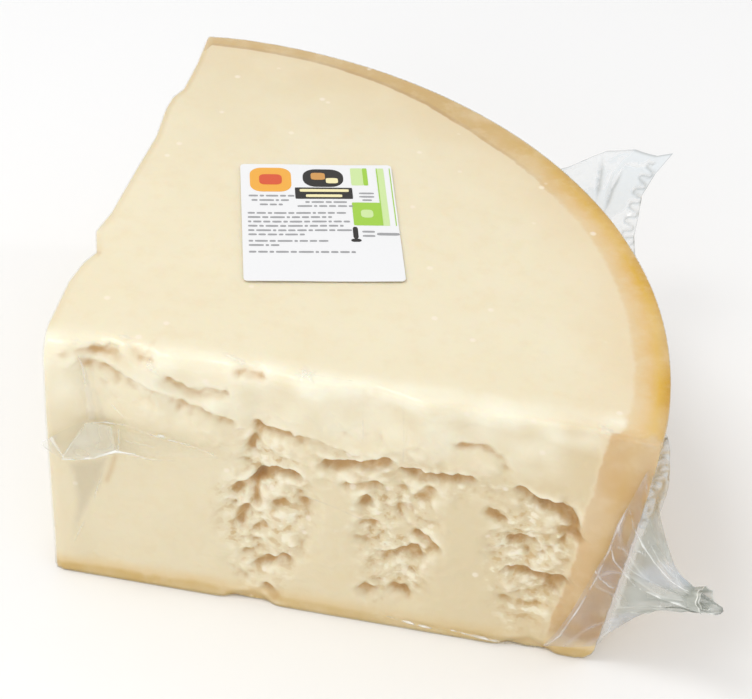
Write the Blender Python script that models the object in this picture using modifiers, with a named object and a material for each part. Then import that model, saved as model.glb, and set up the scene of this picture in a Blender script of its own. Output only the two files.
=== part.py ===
"""A wedge of hard grating cheese, an eighth of a wheel, sealed in a clear vacuum bag.

The wedge is half the wheel's height. Its top is cut smooth, its two straight sides are
broken open and craggy, and its curved side and its bottom are rind. The bag lies tight on
the cheese, so only what stands free of it is a piece of its own: the sealed mouth along
the curved side with its back ear, the front ear and the folded corner at the wedge's point.
A paper label lies on the top.

The numbers below are millimetres. X runs along the front side from the wedge's point,
Y along the left side and Z up. Meshes are made in metres.
"""
import math

import bmesh
import bpy
import numpy as np
from mathutils import Vector, noise

MM = 0.001

# Two places nearer than this are the same place
TOUCH = 0.05

# The block
HEIGHT = 107.5
WHEEL_RADIUS = 189.0
WHEEL_CENTRE = (20.5, 23.4)
WHEEL_STEPS = 120
BELLY_INSET = 9.5
BELLY_POWER = 1.3
FOOT_RADIUS = 6.0
SHOULDER_RADIUS = 1.6
LEFT_PLANE = -3.5
LIP_RADIUS = 10.0
LEFT_LIP_RADIUS = 6.0
POINT_RADIUS = 3.0
BLOCK_VOXEL = 2.0
BLOCK_TRIANGLES = 7400

# What lies lower than this is pressed into the flat base
BASE_LAYER = 0.8

# The left side seen from above: distance from the point, and where the top edge lies
LEFT_EDGE = (
    (0.0, -1.6), (12.0, -3.0), (36.0, -3.4), (48.0, -1.5), (55.0, 1.2), (67.0, -2.4),
    (80.0, -0.2), (108.0, 0.9), (132.0, 2.3), (153.0, 0.9), (161.0, 1.4), (168.0, 4.0),
    (190.0, 4.7), (212.0, 4.0),
)

# Broken bands of the front side: middle (x, z), half size, depth and how rough
FRONT_BANDS = (
    ((76.0, 46.0), (18.0, 40.0), 1.8, 1.0),
    ((123.0, 42.0), (16.0, 36.0), 2.2, 1.0),
    ((171.0, 44.0), (16.0, 37.0), 2.0, 1.0),
    ((120.0, 73.0), (66.0, 10.0), 1.4, 0.45),
)

# Cracks of the front side: depth, width above, width below, then the points (x, z)
FRONT_CRACKS = (
    (3.0, 1.4, 2.6, ((70.3, 74.0), (73.0, 81.5), (79.0, 82.3), (84.0, 82.2))),
    (1.8, 1.6, 2.8, ((87.6, 81.9), (98.1, 80.1), (103.4, 78.9))),
    (4.5, 1.8, 2.6, ((74.8, 60.5), (79.0, 64.5), (86.1, 64.8))),
    (2.2, 1.4, 1.8, ((74.8, 60.0), (69.0, 56.0), (64.5, 52.5))),
    (3.5, 2.0, 2.0, ((72.7, 57.8), (72.9, 48.0))),
    (3.5, 1.8, 2.2, ((66.2, 38.0), (69.0, 44.7))),
    (3.0, 2.0, 2.2, ((80.8, 48.4), (82.5, 49.5))),
    (3.0, 2.0, 2.2, ((73.5, 35.7), (75.5, 36.5))),
    (3.8, 1.6, 2.6, ((97.8, 72.0), (105.4, 73.2), (112.3, 75.0), (117.3, 77.8))),
    (2.6, 1.4, 2.0, ((104.1, 64.2), (114.5, 66.0))),
    (3.6, 1.6, 2.6, ((124.4, 75.0), (131.4, 74.2), (138.3, 74.8), (146.8, 76.3))),
    (3.5, 2.0, 2.5, ((130.5, 63.2), (132.9, 68.1))),
    (2.6, 1.6, 2.0, ((111.5, 58.5), (111.5, 55.5))),
    (3.0, 1.8, 2.2, ((112.5, 47.5), (115.5, 46.8))),
    (3.5, 2.0, 2.2, ((131.0, 44.5), (134.5, 43.8), (136.8, 40.5))),
    (3.0, 1.8, 2.5, ((120.1, 32.5), (126.0, 35.5), (130.6, 37.1))),
    (3.0, 2.0, 2.5, ((113.0, 14.8), (115.5, 14.0))),
    (3.0, 2.0, 2.5, ((124.0, 16.5), (127.0, 15.2))),
    (3.0, 1.8, 2.5, ((74.2, 17.9), (79.0, 21.0), (84.1, 22.8))),
    (3.0, 2.0, 3.0, ((78.0, 7.0), (81.0, 4.0))),
    (1.6, 1.6, 2.4, ((142.2, 88.9), (149.5, 90.5), (155.8, 88.2), (158.3, 84.1))),
    (3.4, 1.6, 2.6, ((163.9, 76.1), (168.3, 73.8), (173.0, 71.1))),
    (4.6, 1.8, 3.0, ((173.0, 71.1), (179.2, 68.2), (183.1, 64.3), (185.2, 58.9))),
    (3.5, 2.0, 2.2, ((155.0, 62.1), (158.7, 60.0))),
    (3.0, 1.6, 2.2, ((163.3, 48.8), (167.0, 50.6), (170.8, 51.1))),
    (3.4, 1.6, 2.4, ((163.3, 35.8), (170.1, 35.8), (178.0, 34.2))),
    (3.0, 2.0, 2.2, ((178.9, 29.3), (182.7, 33.8))),
    (2.4, 2.0, 3.2, ((5.3, 104.0), (12.8, 103.0), (21.5, 103.4))),
    (2.0, 1.8, 2.4, ((28.6, 105.6), (31.3, 104.6), (33.8, 105.8))),
    (2.0, 1.8, 2.4, ((64.9, 104.6), (72.4, 105.0))),
    (2.0, 2.0, 3.0, ((41.5, 97.6), (47.4, 93.0), (60.2, 95.5))),
    (2.2, 2.0, 5.0, ((10.0, 99.0), (30.0, 93.0), (63.0, 81.5))),
)

# Chips in the bottom edge of the front side, as cracks
FOOT_CHIPS = (
    (2.2, 3.0, 4.0, ((66.0, 0.0), (73.0, 2.0), (77.0, 0.0))),
    (2.2, 3.0, 4.0, ((168.0, 0.0), (175.0, 2.5), (181.0, 0.0))),
)

# Cracks of the left side: depth, width above, width below, then the points (y, z)
LEFT_CRACKS = (
    (6.5, 2.4, 7.0, ((30.0, 70.0), (45.0, 77.0), (60.0, 70.0))),
    (6.0, 2.4, 6.0, ((72.0, 50.0), (84.0, 60.0), (101.0, 56.0))),
    (7.0, 2.6, 7.0, ((96.0, 84.0), (115.0, 80.0), (131.0, 86.0))),
    (5.0, 2.2, 5.0, ((136.0, 40.0), (148.0, 48.0), (164.0, 45.0))),
    (6.0, 2.4, 6.5, ((158.0, 82.0), (172.0, 76.0), (184.0, 79.0))),
    (4.0, 2.2, 5.0, ((44.0, 26.0), (58.0, 22.0), (70.0, 27.0))),
)

# Broken bands of the left side, as those of the front: middle (y, z) and so on
LEFT_BANDS = (
    ((50.0, 54.0), (17.0, 30.0), 1.6, 0.9),
    ((104.0, 44.0), (24.0, 32.0), 2.0, 1.0),
    ((152.0, 56.0), (16.0, 30.0), 1.4, 0.8),
    ((112.0, 76.0), (62.0, 9.0), 1.2, 0.7),
)

# Unevenness of the sides: size across, mean depth, and swing about the mean
BROAD_SWELL = (38.0, 1.3, 1.6)
LUMP_SWELL = (16.0, 0.6, 2.0)
TOP_LUMP_SWELL = (19.0, 1.5, 2.7)
RIND_SWELL = (22.0, 0.6, 0.5)
RIM_SWELL = (26.0, 0.5, 0.5)
TOP_SWELL = (40.0, 0.15, 0.15)
NODULE_SIZE = 6.0
NODULE_HEIGHT = 1.7
FURROW_SIZE = 12.0
FURROW_DEPTH = 1.3
FURROW_WIDTH = 0.3
PATCH_SIZE = 13.0
WANDER = 6.0
CRACK_WANDER = 1.6
WANDER_SIZE = 15.0
MOST_DEPTH = 15.0

# How far behind a side its unevenness still moves the cheese
BREAK_REACH = 32.0

# The film
FILM_THICKNESS = 0.7
FILM_LIFT = 0.85
SEAM_HEIGHT = 55.0
SEAM_RISE = 0.38
SEAM_COLUMNS = 56
SEAM_ROWS = 6
SEAM_WAVE = 1.3

# Width of the sealed mouth beyond the curved side, against the angle round the wheel.
# The back ear is its widest stretch
SEAM_WIDTH = (
    (-2.6, 5.6), (0.0, 7.2), (5.0, 9.4), (10.0, 10.6), (15.0, 10.4), (22.0, 12.5),
    (29.0, 18.5), (35.0, 26.0), (40.0, 37.0), (43.5, 50.0), (44.8, 61.0), (45.6, 73.0),
    (46.6, 69.0), (49.0, 67.0), (51.0, 59.0), (52.6, 44.0), (57.0, 24.0), (63.0, 10.0),
    (69.0, 3.0),
)

# The front ear: where it leaves the front side (x, z), and the curved side (angle, z)
EAR_FRONT_LINE = (
    (204.5, 97.0), (201.5, 84.0), (198.0, 70.0), (196.5, 57.0), (192.5, 42.0),
    (188.0, 24.0), (184.0, 12.0), (180.0, 4.5), (190.0, 6.0),
)
EAR_SIDE_LINE = ((-6.4, 12.0), (-5.2, 28.0), (-4.6, 48.0), (-4.8, 68.0), (-5.9, 86.0))
EAR_TIP = (238.0, -8.0, 45.0)
EAR_TIP_HALF_WIDTH = 4.5
EAR_COLUMNS = 30
EAR_ROWS = 10
EAR_TAPER = 2.3
EAR_LOW_CORNER = (198.6, 9.0)
EAR_HIGH_CORNER = (208.0, 98.0)
EAR_RIPPLE = 1.1

# The folded corner of the bag on the front side: upper and lower edge (x, z)
FOLD_UPPER = ((-3.4, 64.0), (4.0, 71.0), (13.0, 78.0), (36.0, 75.0), (60.0, 71.2))
FOLD_LOWER = ((-3.4, 62.0), (4.0, 57.0), (14.0, 59.5), (24.0, 64.0), (60.0, 70.2))
FOLD_BULGE = 2.6
FOLD_COLUMNS = 20
FOLD_ROWS = 6

# The label
LABEL_CENTRE = (75.4, 92.8)
LABEL_SIZE = (57.7, 72.2)
LABEL_TURN_DEG = 14.1
LABEL_THICKNESS = 0.4
LABEL_CORNER = 1.6
LABEL_LIFT = 0.35


def clear_scene():
    """Empty the scene this script runs in."""
    for obj in list(bpy.data.objects):
        bpy.data.objects.remove(obj, do_unlink=True)
    for collection in list(bpy.data.collections):
        bpy.data.collections.remove(collection)


def make_collection(name):
    """A new collection under the scene's own."""
    collection = bpy.data.collections.new(name)
    bpy.context.scene.collection.children.link(collection)
    return collection


def make_material(name, colour, roughness, alpha=1.0):
    """A plain surface of one colour."""
    material = bpy.data.materials.new(name)
    material.use_nodes = True
    shader = material.node_tree.nodes["Principled BSDF"]
    shader.inputs["Base Color"].default_value = (*colour, 1.0)
    shader.inputs["Roughness"].default_value = roughness
    shader.inputs["Metallic"].default_value = 0.0
    shader.inputs["Alpha"].default_value = alpha
    return material


def add_object(name, mesh, collection):
    """An object of this mesh in this collection."""
    obj = bpy.data.objects.new(name, mesh)
    collection.objects.link(obj)
    return obj


def evaluated_mesh(obj):
    """The mesh an object has once its modifiers are worked out."""
    graph = bpy.context.evaluated_depsgraph_get()
    graph.update()
    return bpy.data.meshes.new_from_object(obj.evaluated_get(graph))


def smooth_step(value, low, high):
    """0 below low, 1 above high, and an even curve between."""
    t = np.clip((value - low) / (high - low), 0.0, 1.0)
    return t * t * (3.0 - 2.0 * t)


def rim_inset(z):
    """How far the barrel-shaped curved side lies inside its widest line at height z."""
    z = np.clip(z, 0.0, HEIGHT)
    inset = BELLY_INSET * (1.0 - z / HEIGHT) ** BELLY_POWER
    foot = np.clip(FOOT_RADIUS - z, 0.0, FOOT_RADIUS)
    inset = inset + FOOT_RADIUS - np.sqrt(FOOT_RADIUS ** 2 - foot ** 2)
    shoulder = np.clip(z - (HEIGHT - SHOULDER_RADIUS), 0.0, SHOULDER_RADIUS)
    return inset + SHOULDER_RADIUS - np.sqrt(SHOULDER_RADIUS ** 2 - shoulder ** 2)


def rim_point(angle_deg, z, beyond):
    """A point this far outside the curved side, at an angle round the wheel's centre."""
    radius = WHEEL_RADIUS - float(rim_inset(z)) + beyond
    angle = math.radians(angle_deg)
    x = WHEEL_CENTRE[0] + radius * math.cos(angle)
    y = WHEEL_CENTRE[1] + radius * math.sin(angle)
    return Vector((x, y, z))


def wheel(collection):
    """The half-height wheel, turned about its axis."""
    heights = [HEIGHT, HEIGHT - 0.4 * SHOULDER_RADIUS, HEIGHT - SHOULDER_RADIUS]
    heights += [HEIGHT * step / 10.0 for step in range(9, 0, -1)]
    turns = [math.radians(turn) for turn in range(15, 91, 15)]
    heights += [FOOT_RADIUS * (1.0 - math.sin(turn)) for turn in turns]
    profile = [(0.0, HEIGHT)]
    profile += [(WHEEL_RADIUS - float(rim_inset(z)), z) for z in heights]
    profile.append((0.0, 0.0))
    mesh = bpy.data.meshes.new("wheel_profile")
    points = [(r * MM, 0.0, z * MM) for r, z in profile]
    mesh.from_pydata(points, [(i, i + 1) for i in range(len(points) - 1)], [])
    obj = add_object("wheel_guide", mesh, collection)
    obj.location = (WHEEL_CENTRE[0] * MM, WHEEL_CENTRE[1] * MM, 0.0)
    turn = obj.modifiers.new("turn", 'SCREW')
    turn.steps = WHEEL_STEPS
    turn.render_steps = WHEEL_STEPS
    turn.use_merge_vertices = True
    turn.merge_threshold = 0.00001
    return obj


def wedge_cutter(collection):
    """The box that keeps the part of the wheel between the front and the left side."""
    reach = 1.3 * WHEEL_RADIUS
    size = (reach - LEFT_PLANE, reach, reach)
    middle = (LEFT_PLANE + size[0] / 2.0, size[1] / 2.0, HEIGHT / 2.0)
    mesh = bpy.data.meshes.new("wedge_box")
    bm = bmesh.new()
    bmesh.ops.create_cube(bm, size=1.0)
    for vert in bm.verts:
        vert.co = Vector([(middle[i] + vert.co[i] * size[i]) * MM for i in range(3)])
    bm.to_mesh(mesh)
    bm.free()
    obj = add_object("wedge_cutter", mesh, collection)
    obj.hide_render = True
    obj.display_type = 'WIRE'
    return obj


def round_edges(mesh, touches, radius):
    """Round the edges whose two ends both pass the test."""
    bm = bmesh.new()
    bm.from_mesh(mesh)
    bmesh.ops.dissolve_limit(bm, angle_limit=math.radians(0.5), verts=bm.verts, edges=bm.edges)
    edges = [edge for edge in bm.edges if all(touches(vert.co / MM) for vert in edge.verts)]
    bmesh.ops.bevel(
        bm, geom=edges, offset=radius * MM, segments=4, profile=0.5, affect='EDGES'
    )
    bm.to_mesh(mesh)
    bm.free()


def on_front(point):
    """Whether a point of the plain block lies on its front side."""
    return abs(point.y) < TOUCH


def on_left(point):
    """Whether a point of the plain block lies on its left side."""
    return abs(point.x - LEFT_PLANE) < TOUCH


def on_top(point):
    """Whether a point of the plain block lies on its top."""
    return abs(point.z - HEIGHT) < TOUCH


def plain_block(collection):
    """The wedge before it is broken: smooth sides, rounded edges and an even grid."""
    obj = wheel(collection)
    cutter = wedge_cutter(collection)
    cut = obj.modifiers.new("cut", 'BOOLEAN')
    cut.operation = 'INTERSECT'
    cut.solver = 'EXACT'
    cut.object = cutter
    mesh = evaluated_mesh(obj)
    mesh.transform(obj.matrix_world)
    round_edges(mesh, lambda p: on_front(p) and on_top(p), LIP_RADIUS)
    round_edges(mesh, lambda p: on_left(p) and on_top(p), LEFT_LIP_RADIUS)
    round_edges(mesh, lambda p: on_left(p) and on_front(p), POINT_RADIUS)
    block = add_object("block_guide", mesh, collection)
    grid = block.modifiers.new("grid", 'REMESH')
    grid.mode = 'VOXEL'
    grid.voxel_size = BLOCK_VOXEL * MM
    fine = evaluated_mesh(block)
    for guide in (obj, cutter, block):
        bpy.data.objects.remove(guide, do_unlink=True)
    return fine


def crack_depth(u, v, crack):
    """Depth of one crack at points (u, v): steep above its line and gentle below."""
    depth, above, below, points = crack
    best = np.full(u.shape, 1e9)
    side = np.ones(u.shape)
    for (u0, v0), (u1, v1) in zip(points[:-1], points[1:]):
        run_u = u1 - u0
        run_v = v1 - v0
        along = ((u - u0) * run_u + (v - v0) * run_v) / (run_u ** 2 + run_v ** 2)
        along = np.clip(along, 0.0, 1.0)
        off_u = u - (u0 + along * run_u)
        off_v = v - (v0 + along * run_v)
        distance = np.hypot(off_u, off_v)
        closer = distance < best
        best = np.where(closer, distance, best)
        side = np.where(closer, off_v, side)
    width = np.where(side > 0.0, above, below)
    return depth * np.exp(-(best / width) ** 2)


def crack_sum(u, v, cracks):
    """Depth of all these cracks together at points (u, v)."""
    return sum((crack_depth(u, v, crack) for crack in cracks), np.zeros(u.shape))


def band_mask(u, v, band):
    """1 inside a broken band and 0 outside it, with a soft edge."""
    (mid_u, mid_v), (half_u, half_v), _, _ = band
    reach = np.sqrt(((u - mid_u) / half_u) ** 2 + ((v - mid_v) / half_v) ** 2)
    return 1.0 - smooth_step(reach, 0.55, 1.2)


def noise_field(points, size, seed):
    """Even noise, about -1 to 1, whose bumps are this many millimetres across."""
    shift = Vector((seed * 17.3, seed * -9.1, seed * 5.7))
    return np.array([noise.noise(Vector(p) / size + shift) for p in points])


def swell_field(points, swell, seed):
    """Smooth unevenness of a given size across, mean depth and swing, never below 0."""
    size, mean, swing = swell
    return np.clip(mean + swing * noise_field(points, size, seed), 0.0, None)


def nodule_field(points, size, seed):
    """Rounded crumbs about this many millimetres across: 1 on a crumb, 0 between them."""
    shift = Vector((seed * 11.9, seed * 7.7, seed * -3.1))
    nearest = np.array([noise.voronoi(Vector(p) / size + shift)[0][0] for p in points])
    return np.clip(1.0 - nearest ** 2 * 1.6, 0.0, 1.0)


def furrow_field(points, size, seed):
    """Narrow furrows between rounded lumps: 1 in a furrow and 0 on a lump."""
    away = np.abs(noise_field(points, size, seed)) / FURROW_WIDTH
    return np.clip(1.0 - away, 0.0, 1.0) ** 2


def broken_depth(points, u, v, bands, cracks, seed):
    """How deep a broken side lies behind its plane at points (u, v)."""
    sway_u = noise_field(points, WANDER_SIZE, seed + 5.0)
    sway_v = noise_field(points, WANDER_SIZE, seed + 6.0)
    sway_v += 0.45 * noise_field(points, 0.4 * WANDER_SIZE, seed + 7.0)
    crack_u = u + CRACK_WANDER * sway_u
    crack_v = v + CRACK_WANDER * sway_v
    u = u + WANDER * sway_u
    v = v + WANDER * sway_v
    lumps = swell_field(points, LUMP_SWELL, seed + 1.0)
    crumbs = 1.0 - nodule_field(points, NODULE_SIZE, seed + 2.0)
    furrows = FURROW_DEPTH * furrow_field(points, FURROW_SIZE, seed + 3.0)
    depth = swell_field(points, BROAD_SWELL, seed) + 0.3 * lumps
    rough = np.zeros(u.shape)
    for band in bands:
        mask = band_mask(u, v, band)
        depth = np.maximum(depth, mask * band[2])
        rough = np.maximum(rough, mask * band[3])
    patches = smooth_step(noise_field(points, PATCH_SIZE, seed + 10.0), -0.4, 0.1)
    rough = rough * (0.4 + 0.6 * patches)
    depth = depth + rough * (NODULE_HEIGHT * crumbs + lumps + furrows)
    return depth + crack_sum(crack_u, crack_v, cracks)


def front_depth(x, z):
    """Depth of the broken front side, calm at the rind end and lumpy under the top edge."""
    points = np.column_stack((x, np.zeros(len(x)), z))
    depth = broken_depth(points, x, z, FRONT_BANDS, FRONT_CRACKS, 1.0)
    rind = smooth_step(x, 186.0, 194.0)
    depth = depth * (1.0 - rind) + rind * swell_field(points, RIND_SWELL, 4.0)
    under_top = smooth_step(z, 78.0, 88.0) * smooth_step(x, 4.0, 20.0)
    under_top = under_top * (1.0 - smooth_step(x, 140.0, 165.0))
    furrows = 0.4 * FURROW_DEPTH * furrow_field(points, FURROW_SIZE, 10.0)
    depth = depth + under_top * (swell_field(points, TOP_LUMP_SWELL, 9.0) + furrows)
    calm = smooth_step(z, 1.0, 9.0) * (0.25 + 0.75 * smooth_step(x, 2.0, 14.0))
    depth = 0.3 + calm * depth + crack_sum(x, z, FOOT_CHIPS)
    return np.clip(depth, 0.0, MOST_DEPTH)


def left_depth(y, z):
    """Depth of the broken left side, whose top edge follows its own line."""
    points = np.column_stack((np.zeros(len(y)), y, z))
    edge_y = [place for place, _ in LEFT_EDGE]
    edge_x = [offset for _, offset in LEFT_EDGE]
    edge = np.interp(y, edge_y, edge_x) - LEFT_PLANE
    broken = broken_depth(points, y, z, LEFT_BANDS, LEFT_CRACKS, 21.0)
    rind = smooth_step(y, 186.0, 194.0)
    broken = broken * (1.0 - rind) + rind * swell_field(points, RIND_SWELL, 24.0)
    broken = broken * smooth_step(y, 3.0, 22.0) * (0.2 + 0.8 * smooth_step(z, 1.0, 9.0))
    near_top = smooth_step(z, 60.0, 100.0)
    depth = edge * (0.75 + 0.25 * near_top) + broken * (1.0 - 0.8 * near_top)
    return np.clip(depth, 0.0, MOST_DEPTH)


def break_sides(points, normals):
    """The block's points with its broken sides, rind and top pushed in to their true form."""
    moved = points.copy()
    front = 1.0 - smooth_step(points[:, 1], 0.0, BREAK_REACH)
    moved[:, 1] += front * front_depth(points[:, 0], points[:, 2])
    left = 1.0 - smooth_step(points[:, 0], LEFT_PLANE, LEFT_PLANE + BREAK_REACH)
    moved[:, 0] += left * left_depth(points[:, 1], points[:, 2])
    out = points[:, :2] - np.array(WHEEL_CENTRE)
    radius = np.maximum(np.linalg.norm(out, axis=1), 1.0)
    outward = np.sum(normals[:, :2] * out, axis=1) / radius
    rim = smooth_step(outward, 0.5, 0.9) * smooth_step(radius, 150.0, 170.0)
    moved[:, :2] -= out / radius[:, None] * (rim * swell_field(points, RIM_SWELL, 31.0))[:, None]
    top = smooth_step(normals[:, 2], 0.8, 0.98)
    moved[:, 2] -= top * swell_field(points, TOP_SWELL, 41.0)
    moved[points[:, 2] < BASE_LAYER, 2] = 0.0
    return moved


def break_mesh(mesh):
    """Give a mesh of the plain block its broken form."""
    count = len(mesh.vertices)
    points = np.empty(count * 3)
    normals = np.empty(count * 3)
    mesh.vertices.foreach_get("co", points)
    mesh.vertex_normals.foreach_get("vector", normals)
    moved = break_sides(points.reshape(-1, 3) / MM, normals.reshape(-1, 3))
    mesh.vertices.foreach_set("co", (moved * MM).ravel())
    mesh.update()


def cheese(parts, guides):
    """The wedge of cheese: one solid with its crags, rind and rounded edges."""
    mesh = plain_block(guides)
    break_mesh(mesh)
    obj = add_object("cheese_guide", mesh, guides)
    triangles = sum(len(face.vertices) - 2 for face in mesh.polygons)
    fewer = obj.modifiers.new("fewer", 'DECIMATE')
    fewer.ratio = BLOCK_TRIANGLES / triangles
    fewer.use_collapse_triangulate = True
    result = evaluated_mesh(obj)
    bpy.data.objects.remove(obj, do_unlink=True)
    for vert in result.vertices:
        if vert.co.z < 0.5 * BASE_LAYER * MM:
            vert.co.z = 0.0
    result.name = "cheese"
    result.materials.clear()
    result.materials.append(make_material("cheese", (0.82, 0.71, 0.47), 0.42))
    result.shade_smooth()
    result.set_sharp_from_angle(angle=math.radians(40.0))
    return add_object("cheese", result, parts)


def outside_block(point, gap):
    """The point, moved out if it lies nearer to the plain block than the gap."""
    radius_here = WHEEL_RADIUS - float(rim_inset(point.z))
    out = Vector((point.x - WHEEL_CENTRE[0], point.y - WHEEL_CENTRE[1]))
    beyond_rim = out.length - radius_here
    beyond_front = -point.y
    beyond_left = LEFT_PLANE - point.x
    farthest = max(beyond_rim, beyond_front, beyond_left)
    if farthest >= gap:
        return point
    moved = point.copy()
    if farthest == beyond_front:
        moved.y = -gap
    elif farthest == beyond_rim:
        out = out.normalized() * (radius_here + gap)
        moved.x = WHEEL_CENTRE[0] + out.x
        moved.y = WHEEL_CENTRE[1] + out.y
    else:
        moved.x = LEFT_PLANE - gap
    return moved


def along(points, t):
    """A point at share t of the way along a polyline, by its length."""
    points = [Vector(point) for point in points]
    lengths = [(b - a).length for a, b in zip(points[:-1], points[1:])]
    left = t * sum(lengths)
    for start, end, length in zip(points[:-1], points[1:], lengths):
        if left <= length:
            return start.lerp(end, left / length)
        left -= length
    return points[-1]


def film_sheet(name, parts, columns, rows, place, closed=False):
    """A thin sheet over a grid: place(u, v) gives each point, u along and v outwards."""
    bm = bmesh.new()
    bmesh.ops.create_grid(bm, x_segments=columns, y_segments=rows, size=0.5)
    for vert in bm.verts:
        u = vert.co.x + 0.5
        v = vert.co.y + 0.5
        vert.co = place(u, v) * MM
    if closed:
        bmesh.ops.remove_doubles(bm, verts=bm.verts, dist=TOUCH * MM)
    bmesh.ops.triangulate(bm, faces=bm.faces)
    bmesh.ops.recalc_face_normals(bm, faces=bm.faces)
    mesh = bpy.data.meshes.new(name)
    bm.to_mesh(mesh)
    bm.free()
    mesh.materials.append(make_material(name, (0.80, 0.82, 0.80), 0.12, alpha=0.4))
    mesh.shade_smooth()
    obj = add_object(name, mesh, parts)
    thick = obj.modifiers.new("thickness", 'SOLIDIFY')
    thick.thickness = FILM_THICKNESS * MM
    thick.offset = 0.0
    thick.use_even_offset = False
    return obj


def film_seam(parts):
    """The sealed mouth of the bag: a flange round the curved side that grows into an ear."""
    angles = [angle for angle, _ in SEAM_WIDTH]
    widths = [width for _, width in SEAM_WIDTH]

    def place(u, v):
        angle = angles[0] + u * (angles[-1] - angles[0])
        width = float(np.interp(angle, angles, widths))
        beyond = FILM_LIFT + v * (width - FILM_LIFT)
        turn = math.radians(angle)
        wave = math.sin(19.0 * turn) + 0.6 * math.sin(43.0 * turn)
        z = SEAM_HEIGHT + SEAM_RISE * beyond + SEAM_WAVE * v * wave
        return rim_point(angle, z, beyond)

    return film_sheet("film_seam", parts, SEAM_COLUMNS, SEAM_ROWS, place)


def ear_base():
    """The closed line where the front ear leaves the cheese, round the front corner."""
    front = [Vector((x, -FILM_LIFT, z)) for x, z in EAR_FRONT_LINE]
    low = Vector((EAR_LOW_CORNER[0], -FILM_LIFT, EAR_LOW_CORNER[1]))
    side = [rim_point(angle, z, FILM_LIFT) for angle, z in EAR_SIDE_LINE]
    high = Vector((EAR_HIGH_CORNER[0], -FILM_LIFT, EAR_HIGH_CORNER[1]))
    return front + [low] + side + [high, front[0]]


def film_front_ear(parts):
    """The front ear: a tent of film from the front corner, drawn out to a flat curled tip."""
    base = ear_base()
    middle = sum(base[:-1], Vector()) / (len(base) - 1)
    tip = Vector(EAR_TIP)

    def place(u, v):
        spread = (along(base, u) - middle) * (1.0 - v) ** EAR_TAPER
        turn = 2.0 * math.pi * u
        flat = Vector((0.0, -0.25 * math.sin(turn), math.cos(turn)))
        near_tip = EAR_TIP_HALF_WIDTH * smooth_step(v, 0.3, 0.75) * (1.0 - v) ** 0.4
        ripple = EAR_RIPPLE * math.sin(5.0 * turn) * math.sin(math.pi * v)
        point = middle.lerp(tip, v) + spread + flat * near_tip
        point.z += ripple
        return outside_block(point, FILM_LIFT)

    return film_sheet("film_front_ear", parts, EAR_COLUMNS, EAR_ROWS, place, closed=True)


def film_corner_fold(parts):
    """The bag's folded corner, lying on the front side next to the wedge's point."""

    def place(u, v):
        low = along(FOLD_LOWER, u)
        high = along(FOLD_UPPER, u)
        x, z = low.lerp(high, v)
        bulge = FOLD_BULGE * math.sin(math.pi * v) * math.sin(math.pi * min(1.0, 1.6 * u))
        return Vector((x, -FILM_LIFT - bulge, z))

    return film_sheet("film_corner_fold", parts, FOLD_COLUMNS, FOLD_ROWS, place)


def label(parts):
    """The paper label on the top: a thin sheet with rounded corners."""
    curve = bpy.data.curves.new("label_outline", 'CURVE')
    curve.dimensions = '2D'
    curve.fill_mode = 'BOTH'
    curve.extrude = LABEL_THICKNESS / 2.0 * MM
    outline = curve.splines.new('POLY')
    points = []
    half_x = LABEL_SIZE[0] / 2.0 - LABEL_CORNER
    half_y = LABEL_SIZE[1] / 2.0 - LABEL_CORNER
    for corner, (side_x, side_y) in enumerate(((1, 1), (-1, 1), (-1, -1), (1, -1))):
        for step in range(4):
            angle = math.radians(90.0 * corner + 30.0 * step)
            x = side_x * half_x + LABEL_CORNER * math.cos(angle)
            y = side_y * half_y + LABEL_CORNER * math.sin(angle)
            points.append((x * MM, y * MM, 0.0, 1.0))
    outline.points.add(len(points) - 1)
    for point, place in zip(outline.points, points):
        point.co = place
    outline.use_cyclic_u = True
    obj = bpy.data.objects.new("label", curve)
    parts.objects.link(obj)
    height = HEIGHT + LABEL_LIFT + LABEL_THICKNESS / 2.0
    obj.location = (LABEL_CENTRE[0] * MM, LABEL_CENTRE[1] * MM, height * MM)
    obj.rotation_euler.z = math.radians(LABEL_TURN_DEG)
    curve.materials.append(make_material("label", (0.9, 0.9, 0.9), 0.35))
    return obj


def centre_on_base(parts, pieces):
    """Hang all pieces on one empty and move it so that the origin is under the middle."""
    bpy.context.view_layer.update()
    corners = []
    for piece in pieces:
        mesh = evaluated_mesh(piece)
        corners += [piece.matrix_world @ vert.co for vert in mesh.vertices]
        bpy.data.meshes.remove(mesh)
    low = [min(corner[axis] for corner in corners) for axis in range(3)]
    high = [max(corner[axis] for corner in corners) for axis in range(3)]
    holder = bpy.data.objects.new("cheese_pack_origin", None)
    parts.objects.link(holder)
    for piece in pieces:
        piece.parent = holder
    holder.location = (-(low[0] + high[0]) / 2.0, -(low[1] + high[1]) / 2.0, -low[2])


def main():
    clear_scene()
    parts = make_collection("cheese_pack")
    guides = make_collection("cheese_pack_guides")
    pieces = [
        cheese(parts, guides),
        film_seam(parts),
        film_front_ear(parts),
        film_corner_fold(parts),
        label(parts),
    ]
    centre_on_base(parts, pieces)


main()
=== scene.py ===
"""Looks of the vacuum-packed wedge of hard cheese: crags, rind, clear film and label.

The numbers are millimetres from the wedge's point, as in the part: X along the front side,
Y along the left side and Z up. to_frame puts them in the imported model's frame, in metres.
"""
import math
from contextlib import contextmanager

import bmesh
import bpy
import numpy as np
from mathutils import Matrix, Vector, noise


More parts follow.
